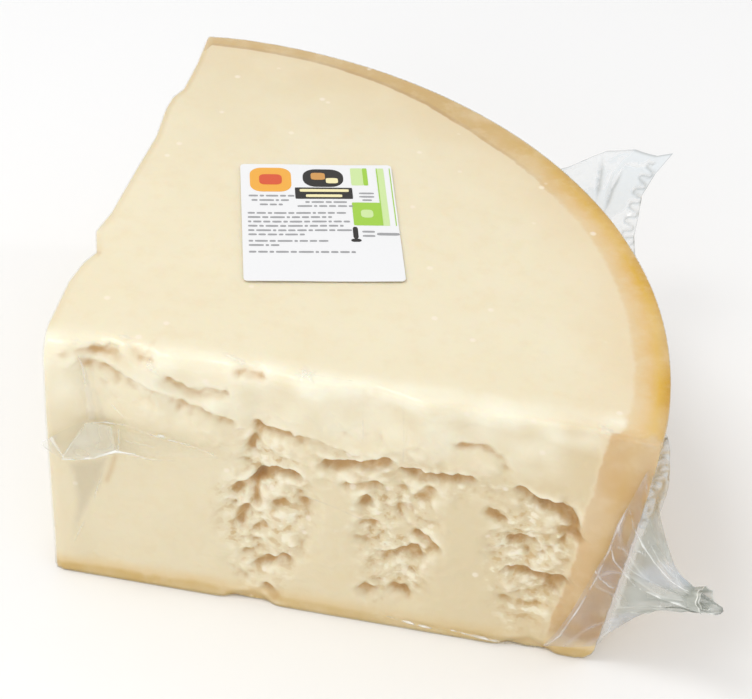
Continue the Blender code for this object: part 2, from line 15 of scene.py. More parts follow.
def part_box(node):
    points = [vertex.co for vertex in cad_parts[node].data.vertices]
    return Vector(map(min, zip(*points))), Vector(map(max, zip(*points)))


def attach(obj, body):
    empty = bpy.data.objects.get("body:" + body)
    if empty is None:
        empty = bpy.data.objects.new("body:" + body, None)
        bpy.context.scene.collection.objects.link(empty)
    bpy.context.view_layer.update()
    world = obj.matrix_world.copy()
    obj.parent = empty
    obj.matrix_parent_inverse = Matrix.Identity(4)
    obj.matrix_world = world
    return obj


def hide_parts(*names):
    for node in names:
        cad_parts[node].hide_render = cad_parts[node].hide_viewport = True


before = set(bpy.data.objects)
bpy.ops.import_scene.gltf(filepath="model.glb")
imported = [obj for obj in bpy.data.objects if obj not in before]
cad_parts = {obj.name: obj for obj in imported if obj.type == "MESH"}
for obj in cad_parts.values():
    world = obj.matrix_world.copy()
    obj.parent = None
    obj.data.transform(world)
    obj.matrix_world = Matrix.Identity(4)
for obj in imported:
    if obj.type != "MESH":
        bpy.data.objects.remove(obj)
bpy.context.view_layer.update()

MM = 0.001

# Two places nearer than this are the same place
TOUCH = 0.05

# The photograph's camera, and its frame in pixels
CAMERA_PLACE = (171.97, -476.35, 529.82)
CAMERA_FORWARD = (-0.09675, 0.76170, -0.64066)
CAMERA_RIGHT = (0.98295, 0.17426, 0.05875)
FOCAL_PIXELS = 1935.7
PHOTO_SIZE = (752, 699)
SENSOR = 36.0
PLACE = np.array(CAMERA_PLACE)
FORWARD = np.array(CAMERA_FORWARD)
RIGHT = np.array(CAMERA_RIGHT)
DOWN = -np.cross(RIGHT, FORWARD)

# The block
HEIGHT = 107.5
WHEEL_RADIUS = 189.0
WHEEL_CENTRE = (20.5, 23.4)
WHEEL_STEPS = 360
BELLY_INSET = 9.5
BELLY_POWER = 1.3
FOOT_RADIUS = 6.0
SHOULDER_RADIUS = 1.6
LEFT_PLANE = -3.5
LIP_RADIUS = 10.0
LEFT_LIP_RADIUS = 6.0
POINT_RADIUS = 3.0
BLOCK_VOXEL = 0.85
CHEESE_TRIANGLES = 185000
SKIN_TRIANGLES = 120000

# What lies lower than this is pressed into the flat base
BASE_LAYER = 0.8

# The left side seen from above: distance from the point, and where the top edge lies
LEFT_EDGE = (
    (0.0, -1.6), (12.0, -3.0), (36.0, -3.4), (48.0, -1.5), (55.0, 1.2), (67.0, -2.4),
    (80.0, -0.2), (108.0, 0.9), (132.0, 2.3), (153.0, 0.9), (161.0, 1.4), (168.0, 4.0),
    (190.0, 4.7), (212.0, 4.0),
)

# Broken bands of the front side: middle (x, z), half size, depth and how rough
FRONT_BANDS = (
    ((76.0, 46.0), (18.0, 40.0), 1.8, 1.0),
    ((123.0, 42.0), (16.0, 36.0), 2.2, 1.0),
    ((171.0, 44.0), (16.0, 37.0), 2.0, 1.0),
    ((120.0, 73.0), (66.0, 10.0), 1.4, 0.45),
)

# Cracks of the front side: depth, width above, width below, then the points (x, z)
FRONT_CRACKS = (
    (3.0, 1.4, 2.6, ((70.3, 74.0), (73.0, 81.5), (79.0, 82.3), (84.0, 82.2))),
    (1.8, 1.6, 2.8, ((87.6, 81.9), (98.1, 80.1), (103.4, 78.9))),
    (4.5, 1.8, 2.6, ((74.8, 60.5), (79.0, 64.5), (86.1, 64.8))),
    (2.2, 1.4, 1.8, ((74.8, 60.0), (69.0, 56.0), (64.5, 52.5))),
    (3.5, 2.0, 2.0, ((72.7, 57.8), (72.9, 48.0))),
    (3.5, 1.8, 2.2, ((66.2, 38.0), (69.0, 44.7))),
    (3.0, 2.0, 2.2, ((80.8, 48.4), (82.5, 49.5))),
    (3.0, 2.0, 2.2, ((73.5, 35.7), (75.5, 36.5))),
    (3.8, 1.6, 2.6, ((97.8, 72.0), (105.4, 73.2), (112.3, 75.0), (117.3, 77.8))),
    (2.6, 1.4, 2.0, ((104.1, 64.2), (114.5, 66.0))),
    (3.6, 1.6, 2.6, ((124.4, 75.0), (131.4, 74.2), (138.3, 74.8), (146.8, 76.3))),
    (3.5, 2.0, 2.5, ((130.5, 63.2), (132.9, 68.1))),
    (2.6, 1.6, 2.0, ((111.5, 58.5), (111.5, 55.5))),
    (3.0, 1.8, 2.2, ((112.5, 47.5), (115.5, 46.8))),
    (3.5, 2.0, 2.2, ((131.0, 44.5), (134.5, 43.8), (136.8, 40.5))),
    (3.0, 1.8, 2.5, ((120.1, 32.5), (126.0, 35.5), (130.6, 37.1))),
    (3.0, 2.0, 2.5, ((113.0, 14.8), (115.5, 14.0))),
    (3.0, 2.0, 2.5, ((124.0, 16.5), (127.0, 15.2))),
    (3.0, 1.8, 2.5, ((74.2, 17.9), (79.0, 21.0), (84.1, 22.8))),
    (3.0, 2.0, 3.0, ((78.0, 7.0), (81.0, 4.0))),
    (1.6, 1.6, 2.4, ((142.2, 88.9), (149.5, 90.5), (155.8, 88.2), (158.3, 84.1))),
    (3.4, 1.6, 2.6, ((163.9, 76.1), (168.3, 73.8), (173.0, 71.1))),
    (4.6, 1.8, 3.0, ((173.0, 71.1), (179.2, 68.2), (183.1, 64.3), (185.2, 58.9))),
    (3.5, 2.0, 2.2, ((155.0, 62.1), (158.7, 60.0))),
    (3.0, 1.6, 2.2, ((163.3, 48.8), (167.0, 50.6), (170.8, 51.1))),
    (3.4, 1.6, 2.4, ((163.3, 35.8), (170.1, 35.8), (178.0, 34.2))),
    (3.0, 2.0, 2.2, ((178.9, 29.3), (182.7, 33.8))),
    (2.4, 2.0, 3.2, ((5.3, 104.0), (12.8, 103.0), (21.5, 103.4))),
    (2.0, 1.8, 2.4, ((28.6, 105.6), (31.3, 104.6), (33.8, 105.8))),
    (2.0, 1.8, 2.4, ((64.9, 104.6), (72.4, 105.0))),
    (2.0, 2.0, 3.0, ((41.5, 97.6), (47.4, 93.0), (60.2, 95.5))),
    (2.2, 2.0, 5.0, ((10.0, 99.0), (30.0, 93.0), (63.0, 81.5))),
)

# Chips in the bottom edge of the front side, as cracks
FOOT_CHIPS = (
    (2.2, 3.0, 4.0, ((66.0, 0.0), (73.0, 2.0), (77.0, 0.0))),
    (2.2, 3.0, 4.0, ((168.0, 0.0), (175.0, 2.5), (181.0, 0.0))),
)

# Cracks of the left side: depth, width above, width below, then the points (y, z)
LEFT_CRACKS = (
    (6.5, 2.4, 7.0, ((30.0, 70.0), (45.0, 77.0), (60.0, 70.0))),
    (6.0, 2.4, 6.0, ((72.0, 50.0), (84.0, 60.0), (101.0, 56.0))),
    (7.0, 2.6, 7.0, ((96.0, 84.0), (115.0, 80.0), (131.0, 86.0))),
    (5.0, 2.2, 5.0, ((136.0, 40.0), (148.0, 48.0), (164.0, 45.0))),
    (6.0, 2.4, 6.5, ((158.0, 82.0), (172.0, 76.0), (184.0, 79.0))),
    (4.0, 2.2, 5.0, ((44.0, 26.0), (58.0, 22.0), (70.0, 27.0))),
)

# Broken bands of the left side, as those of the front: middle (y, z) and so on
LEFT_BANDS = (
    ((50.0, 54.0), (17.0, 30.0), 1.6, 0.9),
    ((104.0, 44.0), (24.0, 32.0), 2.0, 1.0),
    ((152.0, 56.0), (16.0, 30.0), 1.4, 0.8),
    ((112.0, 76.0), (62.0, 9.0), 1.2, 0.7),
)

# Unevenness of the sides: size across, mean depth, and swing about the mean
BROAD_SWELL = (38.0, 1.3, 1.6)
LUMP_SWELL = (16.0, 0.6, 2.0)
TOP_LUMP_SWELL = (19.0, 1.5, 2.7)
RIND_SWELL = (22.0, 0.6, 0.5)
RIM_SWELL = (26.0, 0.5, 0.5)
TOP_SWELL = (40.0, 0.15, 0.15)
NODULE_SIZE = 6.0
NODULE_HEIGHT = 1.7
FURROW_SIZE = 12.0
FURROW_DEPTH = 1.3
FURROW_WIDTH = 0.3
PATCH_SIZE = 13.0
WANDER = 6.0
CRACK_WANDER = 1.6
WANDER_SIZE = 15.0
MOST_DEPTH = 15.0

# Unevenness finer than the part's own: crumbs, furrows, ragged cracks and grain
CRUMB_SIZE = 3.4
CRUMB_HEIGHT = 1.0
SLAB_CRUMBS = 0.12
FINE_FURROW_SIZE = 6.5
FINE_FURROW_DEPTH = 0.8
RAGGED_SIZE = 2.6
RAGGED_SWING = 1.2
GRAIN_SIZE = 2.0
GRAIN_HEIGHT = 0.16

# Where the broken sides change, each from one place to another: they turn to plain rind at
# their far end, are calm at the foot and the point, and the front is lumpy under its top edge
RIND_END = (186.0, 194.0)
FOOT_CALM = (1.0, 9.0)
FRONT_POINT_CALM = (2.0, 14.0)
LEFT_POINT_CALM = (3.0, 22.0)
LEFT_TOP_CALM = (60.0, 100.0)
LUMPS_FROM_HEIGHT = (78.0, 88.0)
LUMPS_FROM_POINT = (4.0, 20.0)
LUMPS_TO_RIND = (140.0, 165.0)
FURROWS_TO_HEIGHT = (88.0, 96.0)
LUMP_FURROWS = 0.4

# Level of the noise at which the broken bands' patches start and are full, and how rough
# the bands are between the patches
PATCH_LEVELS = (-0.4, 0.1)
BETWEEN_PATCHES = 0.4

# How far behind a side its unevenness still moves the cheese
BREAK_REACH = 32.0

# The grid on which the depth of a broken side is worked out
RELIEF_STEP = 0.5
RELIEF_MARGIN = 8.0

# The tight film: its gap to the cheese, and how hard the vacuum pulls it into hollows
SKIN_GAP = 0.25
SKIN_PULL = 0.05
SKIN_ROUNDS = 500
SKIN_DETAIL = 0.45

# The free film
FILM_LIFT = 0.85
SEAM_HEIGHT = 55.0
SEAM_RISE = 0.38
SEAM_COLUMNS = 420
SEAM_ROWS = 90
SEAM_WAVE = 1.3

# Width of the sealed mouth beyond the curved side, against the angle round the wheel
SEAM_WIDTH = (
    (-2.6, 5.6), (0.0, 7.2), (5.0, 9.4), (10.0, 10.6), (15.0, 10.4), (22.0, 12.5),
    (29.0, 18.5), (35.0, 26.0), (40.0, 37.0), (43.5, 50.0), (44.8, 61.0), (45.6, 73.0),
    (46.6, 69.0), (49.0, 67.0), (51.0, 59.0), (52.6, 44.0), (57.0, 24.0), (63.0, 10.0),
    (69.0, 3.0),
)

# The front ear: where it leaves the front side (x, z), and the curved side (angle, z)
EAR_FRONT_LINE = (
    (204.5, 97.0), (201.5, 84.0), (198.0, 70.0), (196.5, 57.0), (192.5, 42.0),
    (188.0, 24.0), (184.0, 12.0), (180.0, 4.5), (190.0, 6.0),
)
EAR_SIDE_LINE = ((-6.4, 12.0), (-5.2, 28.0), (-4.6, 48.0), (-4.8, 68.0), (-5.9, 86.0))
EAR_TIP = (238.0, -8.0, 45.0)
EAR_TIP_HALF_WIDTH = 4.5
EAR_COLUMNS = 260
EAR_ROWS = 90
EAR_TAPER = 2.3
EAR_LOW_CORNER = (198.6, 9.0)
EAR_HIGH_CORNER = (208.0, 98.0)
EAR_RIPPLE = 1.1

# The folded corner of the bag on the front side: upper and lower edge (x, z)
FOLD_UPPER = ((-3.4, 64.0), (4.0, 71.0), (13.0, 78.0), (36.0, 75.0), (60.0, 71.2))
FOLD_LOWER = ((-3.4, 62.0), (4.0, 57.0), (14.0, 59.5), (24.0, 64.0), (60.0, 70.2))
FOLD_BULGE = 2.6
FOLD_COLUMNS = 160
FOLD_ROWS = 48

# The label
LABEL_CENTRE = (75.4, 92.8)
LABEL_SIZE = (57.7, 72.2)
LABEL_TURN_DEG = 14.1
LABEL_THICKNESS = 0.3
LABEL_CORNER = 1.6
LABEL_LIFT = 0.4

# The floor and the lights: name, place, size in metres and power in watts
FLOOR_SIZE = 6.0
FLOOR_DROP = 0.0005
FLOOR_INPUTS = {"Base Color": (0.97, 0.97, 0.97, 1.0), "Roughness": 0.8}
SURROUND_STRENGTH = 0.75
LIGHT_AIM = (0.0, 0.0, 0.05)
LIGHTS = (
    ("key", (-0.55, -0.25, 1.3), (0.45, 0.45), 5.0),
    ("fill", (-0.3, -1.3, 0.6), (0.9, 0.6), 2.4),
    ("rim_strip", (1.1, 0.4, 0.7), (0.12, 0.9), 1.4),
)


def shift_to_frame():
    """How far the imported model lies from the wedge's point, read from the label."""
    low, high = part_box("label")
    middle = (low + high) / 2.0
    return np.array((middle.x - LABEL_CENTRE[0] * MM, middle.y - LABEL_CENTRE[1] * MM, 0.0))


SHIFT = shift_to_frame()


def to_frame(points):
    """Millimetres from the wedge's point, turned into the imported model's metres."""
    return np.asarray(points, float) * MM + SHIFT


def photo_pixels(points):
    """The pixel of the photograph at which each point, in millimetres, lies."""
    ray = np.asarray(points, float) - PLACE
    away = ray @ FORWARD
    x = PHOTO_SIZE[0] / 2.0 + FOCAL_PIXELS * (ray @ RIGHT) / away
    y = PHOTO_SIZE[1] / 2.0 + FOCAL_PIXELS * (ray @ DOWN) / away
    return x, y


def at_pixel(x, y, beside):
    """The point that shows at a pixel, as far from the photograph's camera as another."""
    away = (np.asarray(beside, float) - PLACE) @ FORWARD
    across = (x - PHOTO_SIZE[0] / 2.0) / FOCAL_PIXELS
    below = (y - PHOTO_SIZE[1] / 2.0) / FOCAL_PIXELS
    return PLACE + away * (FORWARD + across * RIGHT + below * DOWN)


# Marks of the front side fade where its surface turns away and, over the top edge, behind it
FRONT_TURN = (0.1, 0.4)
FRONT_REACH = (24.0, 30.0)


def front_share(points, normals):
    """1 on the front side and its rounded top edge and 0 on every other side."""
    turned = np.maximum(-normals[:, 1], normals[:, 2])
    return smooth_step(turned, *FRONT_TURN) * (1.0 - smooth_step(points[:, 1], *FRONT_REACH))


def smooth_step(value, low, high):
    """0 below low, 1 above high, and an even curve between."""
    t = np.clip((value - low) / (high - low), 0.0, 1.0)
    return t * t * (3.0 - 2.0 * t)


def line_distance(u, v, points):
    """Distance of points (u, v) from a polyline, and how far they lie above it."""
    best = np.full(u.shape, 1e9)
    side = np.ones(u.shape)
    for (u0, v0), (u1, v1) in zip(points[:-1], points[1:]):
        run_u = u1 - u0
        run_v = v1 - v0
        along_line = ((u - u0) * run_u + (v - v0) * run_v) / (run_u ** 2 + run_v ** 2)
        along_line = np.clip(along_line, 0.0, 1.0)
        off_u = u - (u0 + along_line * run_u)
        off_v = v - (v0 + along_line * run_v)
        distance = np.hypot(off_u, off_v)
        closer = distance < best
        best = np.where(closer, distance, best)
        side = np.where(closer, off_v, side)
    return best, side


# Meshes

def add_object(name, data):
    """A new object of this mesh, light or camera."""
    obj = bpy.data.objects.new(name, data)
    bpy.context.scene.collection.objects.link(obj)
    return obj


@contextmanager
def editing(mesh):
    """A mesh opened for edits, which go back into it at the end."""
    bm = bmesh.new()
    bm.from_mesh(mesh)
    bm.verts.ensure_lookup_table()
    yield bm
    bm.to_mesh(mesh)
    bm.free()


def evaluated_mesh(obj):
    """The mesh an object has once its modifiers are worked out."""
    graph = bpy.context.evaluated_depsgraph_get()
    graph.update()
    return bpy.data.meshes.new_from_object(obj.evaluated_get(graph))


def mesh_arrays(mesh):
    """The points and the normals of a mesh, as arrays."""
    count = len(mesh.vertices)
    points = np.empty(count * 3)
    normals = np.empty(count * 3)
    mesh.vertices.foreach_get("co", points)
    mesh.vertex_normals.foreach_get("vector", normals)
    return points.reshape(-1, 3), normals.reshape(-1, 3)


def set_points(mesh, points):
    """Move a mesh's points."""
    mesh.vertices.foreach_set("co", np.asarray(points, float).ravel())
    mesh.update()


def set_attribute(mesh, name, values):
    """Keep one number for each point of a mesh under this name."""
    attribute = mesh.attributes.new(name, 'FLOAT', 'POINT')
    attribute.data.foreach_set("value", np.asarray(values, float))


def fewer_triangles(mesh, count):
    """The mesh with about this many triangles, dense where it is uneven."""
    triangles = sum(len(face.vertices) - 2 for face in mesh.polygons)
    if triangles <= count:
        return mesh
    guide = add_object("dense_guide", mesh)
    fewer = guide.modifiers.new("fewer", 'DECIMATE')
    fewer.ratio = count / triangles
    fewer.use_collapse_triangulate = True
    result = evaluated_mesh(guide)
    bpy.data.objects.remove(guide, do_unlink=True)
    return result


def finish_piece(name, mesh, material, node=None):
    """Make a piece of the part out of a mesh that is in millimetres from the point."""
    points, _ = mesh_arrays(mesh)
    set_points(mesh, to_frame(points))
    mesh.name = name
    mesh.materials.clear()
    mesh.materials.append(material)
    mesh.shade_smooth()
    obj = add_object(name, mesh)
    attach(obj, "root")
    if node:
        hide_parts(node)
    return obj


# Block

def rim_inset(z):
    """How far the barrel-shaped curved side lies inside its widest line at height z."""
    z = np.clip(z, 0.0, HEIGHT)
    inset = BELLY_INSET * (1.0 - z / HEIGHT) ** BELLY_POWER
    foot = np.clip(FOOT_RADIUS - z, 0.0, FOOT_RADIUS)
    inset = inset + FOOT_RADIUS - np.sqrt(FOOT_RADIUS ** 2 - foot ** 2)
    shoulder = np.clip(z - (HEIGHT - SHOULDER_RADIUS), 0.0, SHOULDER_RADIUS)
    return inset + SHOULDER_RADIUS - np.sqrt(SHOULDER_RADIUS ** 2 - shoulder ** 2)


def rim_point(angle_deg, z, beyond):
    """A point this far outside the curved side, at an angle round the wheel's centre."""
    radius = WHEEL_RADIUS - float(rim_inset(z)) + beyond
    angle = math.radians(angle_deg)
    x = WHEEL_CENTRE[0] + radius * math.cos(angle)
    y = WHEEL_CENTRE[1] + radius * math.sin(angle)
    return Vector((x, y, z))


def wheel_guide():
    """The half-height wheel, turned about its axis."""
    heights = [HEIGHT, HEIGHT - 0.4 * SHOULDER_RADIUS, HEIGHT - SHOULDER_RADIUS]
    heights += [HEIGHT * step / 24.0 for step in range(23, 1, -1)]
    turns = [math.radians(turn) for turn in range(10, 91, 10)]
    heights += [FOOT_RADIUS * (1.0 - math.sin(turn)) for turn in turns]
    profile = [(0.0, HEIGHT)]
    profile += [(WHEEL_RADIUS - float(rim_inset(z)), z) for z in heights]
    profile.append((0.0, 0.0))
    mesh = bpy.data.meshes.new("wheel_profile")
    points = [(r * MM, 0.0, z * MM) for r, z in profile]
    mesh.from_pydata(points, [(i, i + 1) for i in range(len(points) - 1)], [])
    obj = add_object("wheel_guide", mesh)
    obj.location = (WHEEL_CENTRE[0] * MM, WHEEL_CENTRE[1] * MM, 0.0)
    turn = obj.modifiers.new("turn", 'SCREW')
    turn.steps = WHEEL_STEPS
    turn.render_steps = WHEEL_STEPS
    turn.use_merge_vertices = True
    turn.merge_threshold = 0.00001
    return obj


def wedge_cutter():
    """The box that keeps the part of the wheel between the front and the left side."""
    reach = 1.3 * WHEEL_RADIUS
    size = (reach - LEFT_PLANE, reach, reach)
    middle = (LEFT_PLANE + size[0] / 2.0, size[1] / 2.0, HEIGHT / 2.0)
    mesh = bpy.data.meshes.new("wedge_box")
    with editing(mesh) as bm:
        bmesh.ops.create_cube(bm, size=1.0)
        for vert in bm.verts:
            vert.co = Vector([(middle[i] + vert.co[i] * size[i]) * MM for i in range(3)])
    return add_object("wedge_cutter", mesh)


def round_edges(mesh, touches, radius):
    """Round the edges whose two ends both pass the test."""
    flat = math.radians(0.5)
    with editing(mesh) as bm:
        bmesh.ops.dissolve_limit(bm, angle_limit=flat, verts=bm.verts, edges=bm.edges)
        edges = [edge for edge in bm.edges if all(touches(vert.co / MM) for vert in edge.verts)]
        bmesh.ops.bevel(
            bm, geom=edges, offset=radius * MM, segments=8, profile=0.5, affect='EDGES'
        )


def on_front(point):
    """Whether a point of the plain block lies on its front side."""
    return abs(point.y) < TOUCH


def on_left(point):
    """Whether a point of the plain block lies on its left side."""
    return abs(point.x - LEFT_PLANE) < TOUCH


def on_top(point):
    """Whether a point of the plain block lies on its top."""
    return abs(point.z - HEIGHT) < TOUCH


def plain_block():
    """The wedge before it is broken, as a fine even grid in millimetres."""
    obj = wheel_guide()
    cutter = wedge_cutter()
    cut = obj.modifiers.new("cut", 'BOOLEAN')
    cut.operation = 'INTERSECT'
    cut.solver = 'EXACT'
    cut.object = cutter
    mesh = evaluated_mesh(obj)
    mesh.transform(obj.matrix_world)
    round_edges(mesh, lambda p: on_front(p) and on_top(p), LIP_RADIUS)
    round_edges(mesh, lambda p: on_left(p) and on_top(p), LEFT_LIP_RADIUS)
    round_edges(mesh, lambda p: on_left(p) and on_front(p), POINT_RADIUS)
    block = add_object("block_guide", mesh)
    grid = block.modifiers.new("grid", 'REMESH')
    grid.mode = 'VOXEL'
    grid.voxel_size = BLOCK_VOXEL * MM
    fine = evaluated_mesh(block)
    for guide in (obj, cutter, block):
        bpy.data.objects.remove(guide, do_unlink=True)
    points, _ = mesh_arrays(fine)
    set_points(fine, points / MM)
    return fine


# Relief

def noise_field(points, size, seed):
    """Even noise, about -1 to 1, whose bumps are this many millimetres across."""
    shift = Vector((seed * 17.3, seed * -9.1, seed * 5.7))
    return np.array([noise.noise(Vector(p) / size + shift) for p in points])


def swell_field(points, swell, seed):
    """Smooth unevenness of a given size across, mean depth and swing, never below 0."""
    size, mean, swing = swell
    return np.clip(mean + swing * noise_field(points, size, seed), 0.0, None)


def nodule_field(points, size, seed):
    """Rounded crumbs about this many millimetres across: 1 on a crumb, 0 between them."""
    shift = Vector((seed * 11.9, seed * 7.7, seed * -3.1))
    nearest = np.array([noise.voronoi(Vector(p) / size + shift)[0][0] for p in points])
    return np.clip(1.0 - nearest ** 2 * 1.6, 0.0, 1.0)


def furrow_field(points, size, seed):
    """Narrow furrows between rounded lumps: 1 in a furrow and 0 on a lump."""
    away = np.abs(noise_field(points, size, seed)) / FURROW_WIDTH
    return np.clip(1.0 - away, 0.0, 1.0) ** 2


def crack_sum(u, v, cracks):
    """Depth of these cracks together: steep above each line and gentle below."""
    total = np.zeros(u.shape)
    for depth, above, below, points in cracks:
        distance, side = line_distance(u, v, points)
        width = np.where(side > 0.0, above, below)
        total += depth * np.exp(-(distance / width) ** 2)
    return total


def band_mask(u, v, band):
    """1 inside a broken band and 0 outside it, with a soft edge."""
    (mid_u, mid_v), (half_u, half_v), _, _ = band
    reach = np.sqrt(((u - mid_u) / half_u) ** 2 + ((v - mid_v) / half_v) ** 2)
    return 1.0 - smooth_step(reach, 0.55, 1.2)


def broken_depth(points, u, v, bands, cracks, seed):
    """How deep a broken side lies behind its plane at points (u, v)."""
    sway_u = noise_field(points, WANDER_SIZE, seed + 5.0)
    sway_v = noise_field(points, WANDER_SIZE, seed + 6.0)
    sway_v += 0.45 * noise_field(points, 0.4 * WANDER_SIZE, seed + 7.0)
    crack_u = u + CRACK_WANDER * sway_u
    crack_v = v + CRACK_WANDER * sway_v
    crack_v += RAGGED_SWING * noise_field(points, RAGGED_SIZE, seed + 8.0)
    u = u + WANDER * sway_u
    v = v + WANDER * sway_v
    lumps = swell_field(points, LUMP_SWELL, seed + 1.0)
    nodules = 1.0 - nodule_field(points, NODULE_SIZE, seed + 2.0)
    furrows = FURROW_DEPTH * furrow_field(points, FURROW_SIZE, seed + 3.0)
    furrows += FINE_FURROW_DEPTH * furrow_field(points, FINE_FURROW_SIZE, seed + 9.0)
    crumbs = 0.5 - nodule_field(points, CRUMB_SIZE, seed + 3.0)
    depth = swell_field(points, BROAD_SWELL, seed) + 0.3 * lumps
    rough = np.zeros(u.shape)
    for band in bands:
        mask = band_mask(u, v, band)
        depth = np.maximum(depth, mask * band[2])
        rough = np.maximum(rough, mask * band[3])
    patches = smooth_step(noise_field(points, PATCH_SIZE, seed + 10.0), *PATCH_LEVELS)
    rough = rough * (BETWEEN_PATCHES + (1.0 - BETWEEN_PATCHES) * patches)
    cracked = crack_sum(crack_u, crack_v, cracks)
    depth = depth + rough * (NODULE_HEIGHT * nodules + lumps + furrows)
    loose = np.clip(np.maximum(rough, cracked / 4.0), SLAB_CRUMBS, 1.0)
    depth = depth + loose * CRUMB_HEIGHT * crumbs
    depth = depth + GRAIN_HEIGHT * noise_field(points, GRAIN_SIZE, seed + 4.0)
    return depth + cracked


def front_depth(x, z):
    """Depth of the broken front side, calm at the rind end and lumpy under the top edge."""
    points = np.column_stack((x, np.zeros(len(x)), z))
    depth = broken_depth(points, x, z, FRONT_BANDS, FRONT_CRACKS, 1.0)
    rind = smooth_step(x, *RIND_END)
    depth = depth * (1.0 - rind) + rind * swell_field(points, RIND_SWELL, 4.0)
    under_top = smooth_step(z, *LUMPS_FROM_HEIGHT) * smooth_step(x, *LUMPS_FROM_POINT)
    under_top = under_top * (1.0 - smooth_step(x, *LUMPS_TO_RIND))
    furrows = LUMP_FURROWS * FURROW_DEPTH * furrow_field(points, FURROW_SIZE, 10.0)
    furrows += LUMP_FURROWS * FINE_FURROW_DEPTH * furrow_field(points, FINE_FURROW_SIZE, 11.0)
    furrows *= 1.0 - smooth_step(z, *FURROWS_TO_HEIGHT)
    depth = depth + under_top * (swell_field(points, TOP_LUMP_SWELL, 9.0) + furrows)
    calm = smooth_step(z, *FOOT_CALM) * (0.25 + 0.75 * smooth_step(x, *FRONT_POINT_CALM))
    depth = 0.3 + calm * depth + crack_sum(x, z, FOOT_CHIPS)
    return np.clip(depth, 0.0, MOST_DEPTH)


def left_depth(y, z):
    """Depth of the broken left side, whose top edge follows its own line."""
    points = np.column_stack((np.zeros(len(y)), y, z))
    edge_y = [place for place, _ in LEFT_EDGE]
    edge_x = [offset for _, offset in LEFT_EDGE]
    edge = np.interp(y, edge_y, edge_x) - LEFT_PLANE
    broken = broken_depth(points, y, z, LEFT_BANDS, LEFT_CRACKS, 21.0)
    rind = smooth_step(y, *RIND_END)
    broken = broken * (1.0 - rind) + rind * swell_field(points, RIND_SWELL, 24.0)
    foot = 0.2 + 0.8 * smooth_step(z, *FOOT_CALM)
    broken = broken * smooth_step(y, *LEFT_POINT_CALM) * foot
    near_top = smooth_step(z, *LEFT_TOP_CALM)
    depth = edge * (0.75 + 0.25 * near_top) + broken * (1.0 - 0.8 * near_top)
    return np.clip(depth, 0.0, MOST_DEPTH)


def soften(field, radius):
    """A grid averaged over a soft disc of this radius in millimetres."""
    half = max(1, round(radius / RELIEF_STEP))
    kernel = np.hanning(2 * half + 3)[1:-1]
    kernel /= kernel.sum()
    for axis in (0, 1):
        pad = [(half, half) if axis == turn else (0, 0) for turn in (0, 1)]
        wide = np.pad(field, pad, mode="edge")
        steps = field.shape[axis]
        parts = [weight * wide.take(range(i, i + steps), axis=axis) for i, weight in enumerate(kernel)]
        field = sum(parts)
    return field


def film_over(depth):
    """Depth of a stretched film that the vacuum pulls towards a surface of this depth."""
    film = soften(depth, 6.0)
    for _ in range(SKIN_ROUNDS):
        wide = np.pad(film, 1, mode="edge")
        mean = (wide[2:, 1:-1] + wide[:-2, 1:-1] + wide[1:-1, 2:] + wide[1:-1, :-2]) / 4.0
        film = np.minimum(depth - SKIN_GAP, mean + SKIN_PULL * RELIEF_STEP ** 2)
    return film


def relief(depth_of):
    """Grids over one broken side: its depth, the film's depth and how hollow it is, which sets the painted
    shade in crevices and the painted light on peaks.
    """
    u = np.arange(-RELIEF_MARGIN, WHEEL_CENTRE[0] + WHEEL_RADIUS + RELIEF_MARGIN, RELIEF_STEP)
    v = np.arange(-RELIEF_MARGIN, HEIGHT + RELIEF_MARGIN, RELIEF_STEP)
    grid_u, grid_v = np.meshgrid(u, v, indexing="ij")
    depth = depth_of(grid_u.ravel(), grid_v.ravel()).reshape(grid_u.shape)
    return {
        "depth": depth,
        "film": film_over(depth),
        "crevice_shade": depth - soften(depth, 4.0),
        "hollow": depth - soften(depth, 14.0),
    }


def sample(grid, u, v):
    """The grid's value at points (u, v), even between its own points."""
    row = np.clip((u + RELIEF_MARGIN) / RELIEF_STEP, 0.0, grid.shape[0] - 1.001)
    column = np.clip((v + RELIEF_MARGIN) / RELIEF_STEP, 0.0, grid.shape[1] - 1.001)
    i = row.astype(int)
    j = column.astype(int)
    s = row - i
    t = column - j
    low = grid[i, j] * (1.0 - s) + grid[i + 1, j] * s
    high = grid[i, j + 1] * (1.0 - s) + grid[i + 1, j + 1] * s
    return low * (1.0 - t) + high * t


def break_sides(points, normals, front, left):
    """The block's points with its broken sides, rind and top pushed in."""
    moved = points.copy()
    share = 1.0 - smooth_step(points[:, 1], 0.0, BREAK_REACH)
    moved[:, 1] += share * sample(front, points[:, 0], points[:, 2])
    share = 1.0 - smooth_step(points[:, 0], LEFT_PLANE, LEFT_PLANE + BREAK_REACH)
    moved[:, 0] += share * sample(left, points[:, 1], points[:, 2])
    out = points[:, :2] - np.array(WHEEL_CENTRE)
    radius = np.maximum(np.linalg.norm(out, axis=1), 1.0)
    outward = np.sum(normals[:, :2] * out, axis=1) / radius
    rim = smooth_step(outward, 0.5, 0.9) * smooth_step(radius, 150.0, 170.0)
    moved[:, :2] -= out / radius[:, None] * (rim * swell_field(points, RIM_SWELL, 31.0))[:, None]
    top = smooth_step(normals[:, 2], 0.8, 0.98)
    moved[:, 2] -= top * swell_field(points, TOP_SWELL, 41.0)
    moved[points[:, 2] < BASE_LAYER, 2] = 0.0
    return moved


# Materials

def srgb(red, green, blue):
    """A colour given as it looks on a screen, from 0 to 255."""
    values = [value / 255.0 for value in (red, green, blue)]
    linear = [v / 12.92 if v <= 0.04045 else ((v + 0.055) / 1.055) ** 2.4 for v in values]
    return (*linear, 1.0)


